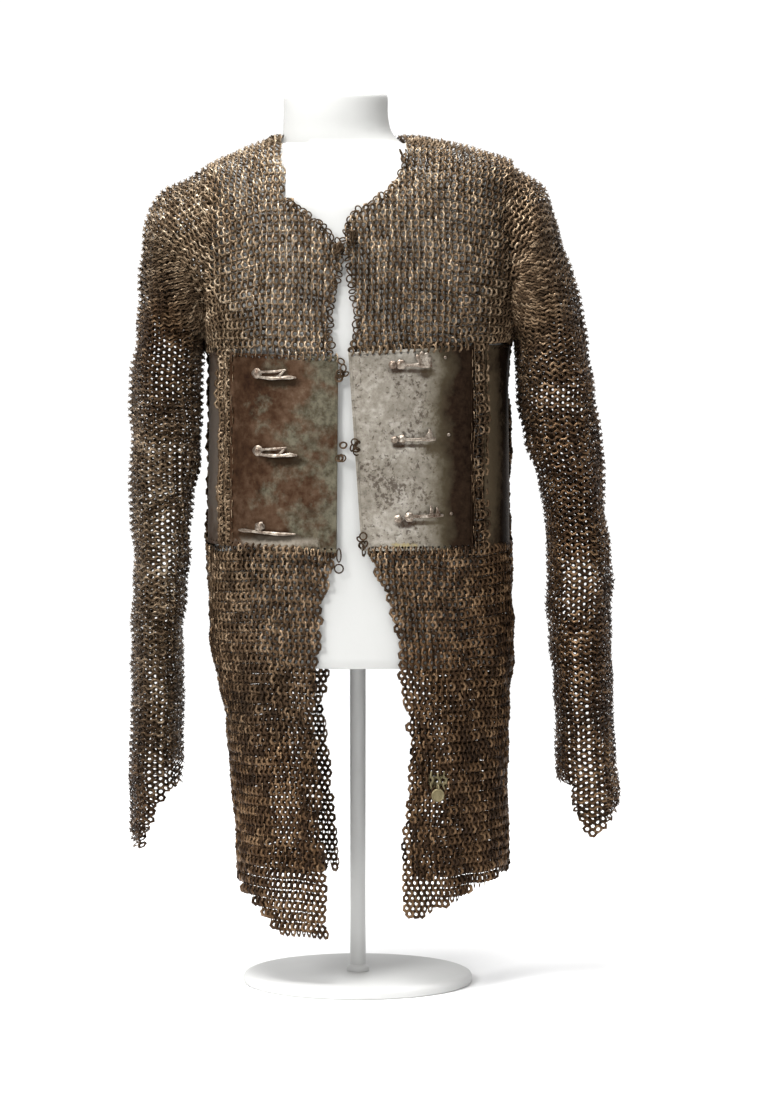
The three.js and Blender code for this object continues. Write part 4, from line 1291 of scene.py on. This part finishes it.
def add_loose_rings():
    parts = Parts()
    for x, z, half_width, half_height, count, radius in CLUSTERS:
        for i in range(count):
            dx, dz, lift = rng.uniform(-1, 1, 3)
            centre, right, up, out = on_front(x + dx * half_width, z + dz * half_height, 2 + lift * 2.5)
            right, up = skewed(right, up, out, 1.1)
            loose_ring(parts, centre, right, up, radius, 0.95)
    for line, side in ((RIGHT_NECKLINE[2:], 1), (LEFT_NECKLINE[1:], -1)):
        spots, ahead = along_line(line, 7.4)
        for (x, z), (ax, az) in zip(spots, ahead):
            off = rng.uniform(-1.0, 2.6)
            beside = (x - az * off * side, z + ax * off * side)
            centre, right, up, out = on_front(*beside, rng.uniform(-2.5, 1.0))
            right, up = skewed(right, up, out, 1.1)
            loose_ring(parts, centre, right, up, rng.uniform(3.6, 4.3), 0.9)
    centre, right, up, out = on_front(-20.5, 502, 1.5)
    loose_ring(parts, centre, right, up, 2.4, 0.9, stretch=3.2)
    centre, right, up, out = on_front(-20.5, 487, 1.5)
    loose_ring(parts, centre, right, up, 4.9, 0.95)
    finish(parts.build("mail_loose_rings", 60), MAIL, "mail")


# Form and stand

FORM_BOTTOM_Z = 373.0
FORM_LIMITS = (-168.0, 170.0)
FORM_SIDE_GAP = 8.0
FORM_SNUG_GAP = 3.3
SHOULDER_START_Z = 870.0
SHOULDER_FULL_Z = 925.0
SHOULDER_DROP = 3.6
NECK = [
    # z, x, half width, front, back
    (966, -18, 69, 54, 58),
    (974, -22, 64, 54, 58),
    (984, -24, 61, 54, 58),
    (1000, -25, 59.5, 55, 58),
    (1016, -25, 59.5, 55, 58),
    (1020, -25, 58.6, 54, 57),
    (1021.7, -25, 57, 52, 55),
]


def add_form():
    turn = np.linspace(-math.pi, math.pi, 72, endpoint=False)
    rings = []
    heights = np.concatenate([[FORM_BOTTOM_Z, FORM_BOTTOM_Z + 1.5], np.linspace(385, 860, 32),
                              np.linspace(866, 961, 20)])
    for z in heights:
        snug = smooth_step(SHOULDER_START_Z, SHOULDER_FULL_Z, z)
        inset = FORM_SIDE_GAP + (FORM_SNUG_GAP - FORM_SIDE_GAP) * snug + (1.2 if z == FORM_BOTTOM_Z else 0)
        ring = body_section(z, turn, inset, FORM_LIMITS)
        ring[:, 2] = z - SHOULDER_DROP * snug
        rings.append(ring)
    neck = columns(("z", "x", "half", "front", "back"), NECK)
    for z in np.concatenate([np.linspace(966, 1016, 12), [1018, 1020, 1021, 1021.7]]):
        x, half, front, back = (curve_at(neck, "z", name, z) for name in ("x", "half", "front", "back"))
        depth = np.where(np.cos(turn) > 0, front, back)
        rings.append(np.stack([x + half * np.sin(turn), -depth * np.cos(turn), np.full(len(turn), z)], -1))
    parts = Parts()
    parts.skin(rings)
    finish(parts.build("dress_form_smooth", 50), FORM, "form_white", "dress_form")


def add_stand():
    turn = np.linspace(0, 2 * math.pi, 72, endpoint=False)
    circle = np.stack([np.cos(turn), np.sin(turn), np.zeros(len(turn))], -1)
    base = Parts()
    base.skin([circle * radius + (0, 0, z) for radius, z in
               ((130.5, 0), (132, 1.5), (132, 7), (130.5, 9.8), (127, 11.5), (122, 12), (20, 12))])
    finish(base.build("stand_base_worked"), STAND, "stand_white", "stand_base")
    pole = Parts()
    pole.skin([circle * radius + (0, 0, z) for radius, z in
               ((13, 12.3), (13, 16), (11.5, 18.5), (9, 19.5), (9, 366), (13, 367), (13, 372.7))])
    finish(pole.build("stand_pole_worked"), STAND, "stand_white", "stand_pole")


# The picture

VIEW_DISTANCE = 5.0
VIEW_DOWN = math.radians(4.0)
VIEW_TARGET = (29.0, 0.0, 500.0)
PHOTO_HEIGHT = 1100
MM_PER_PIXEL = 1.15


def add_camera():
    data = bpy.data.cameras.new("camera")
    camera = bpy.data.objects.new("camera", data)
    bpy.context.collection.objects.link(camera)
    target = place(VIEW_TARGET)
    camera.location = Vector(target) + VIEW_DISTANCE * Vector((0, -math.cos(VIEW_DOWN), math.sin(VIEW_DOWN)))
    camera.rotation_euler = (math.pi / 2 - VIEW_DOWN, 0, 0)
    data.sensor_fit = "VERTICAL"
    data.sensor_height = 24.0
    data.lens = data.sensor_height * VIEW_DISTANCE / (PHOTO_HEIGHT * MM_PER_PIXEL * MM)
    bpy.context.scene.camera = camera


FLOOR_HALF = 3.2


def add_floor():
    half = FLOOR_HALF
    points = np.array([(-half, -half, 0), (half, -half, 0), (half, half, 0), (-half, half, 0)])
    floor = array_mesh("floor", points, np.array([[0, 1, 2, 3]]))
    floor.data.materials.append(plain_material("floor_paper", (0.9, 0.9, 0.9), 0.8, 0.0, 0.01, 2.0))


def add_light(name, location, energy, size, warmth=(1, 1, 1)):
    data = bpy.data.lights.new(name, "AREA")
    data.energy = energy
    data.size = size
    data.color = warmth
    light = bpy.data.objects.new(name, data)
    bpy.context.collection.objects.link(light)
    light.location = location
    aim = Vector((0, 0, 0.55)) - Vector(location)
    light.rotation_euler = aim.to_track_quat("-Z", "Y").to_euler()


def add_lights():
    add_light("key", (-2.4, -3.2, 2.6), 150, 1.2)
    add_light("fill", (2.8, -3.0, 1.6), 14, 2.4)
    add_light("top", (-0.4, -0.5, 3.0), 150, 1.4)
    world = bpy.data.worlds.new("studio")
    bpy.context.scene.world = world
    world.use_nodes = True
    tree = world.node_tree
    way = tree.nodes.new("ShaderNodeTexCoord")
    turn = tree.nodes.new("ShaderNodeVectorMath")
    turn.operation = "DOT_PRODUCT"
    turn.inputs[1].default_value = (-0.15, 0.95, 0.2)
    tree.links.new(way.outputs["Generated"], turn.inputs[0])
    ramp = tree.nodes.new("ShaderNodeValToRGB")
    ramp.color_ramp.elements[0].position = 0.1
    ramp.color_ramp.elements[0].color = (0.5, 0.5, 0.5, 1)
    ramp.color_ramp.elements[1].position = 0.6
    ramp.color_ramp.elements[1].color = (1, 1, 1, 1)
    tree.links.new(turn.outputs["Value"], ramp.inputs["Fac"])
    background = tree.nodes["Background"]
    tree.links.new(ramp.outputs["Color"], background.inputs["Color"])
    background.inputs["Strength"].default_value = 1.1
    bpy.context.scene.view_settings.view_transform = "Standard"


add_camera()
add_skirts()
add_yokes()
add_back()
add_sleeves()
add_strips()
add_plates()
add_plate_links()
add_clasps()
add_seal()
add_loose_rings()
add_form()
add_stand()
add_floor()
add_lights()
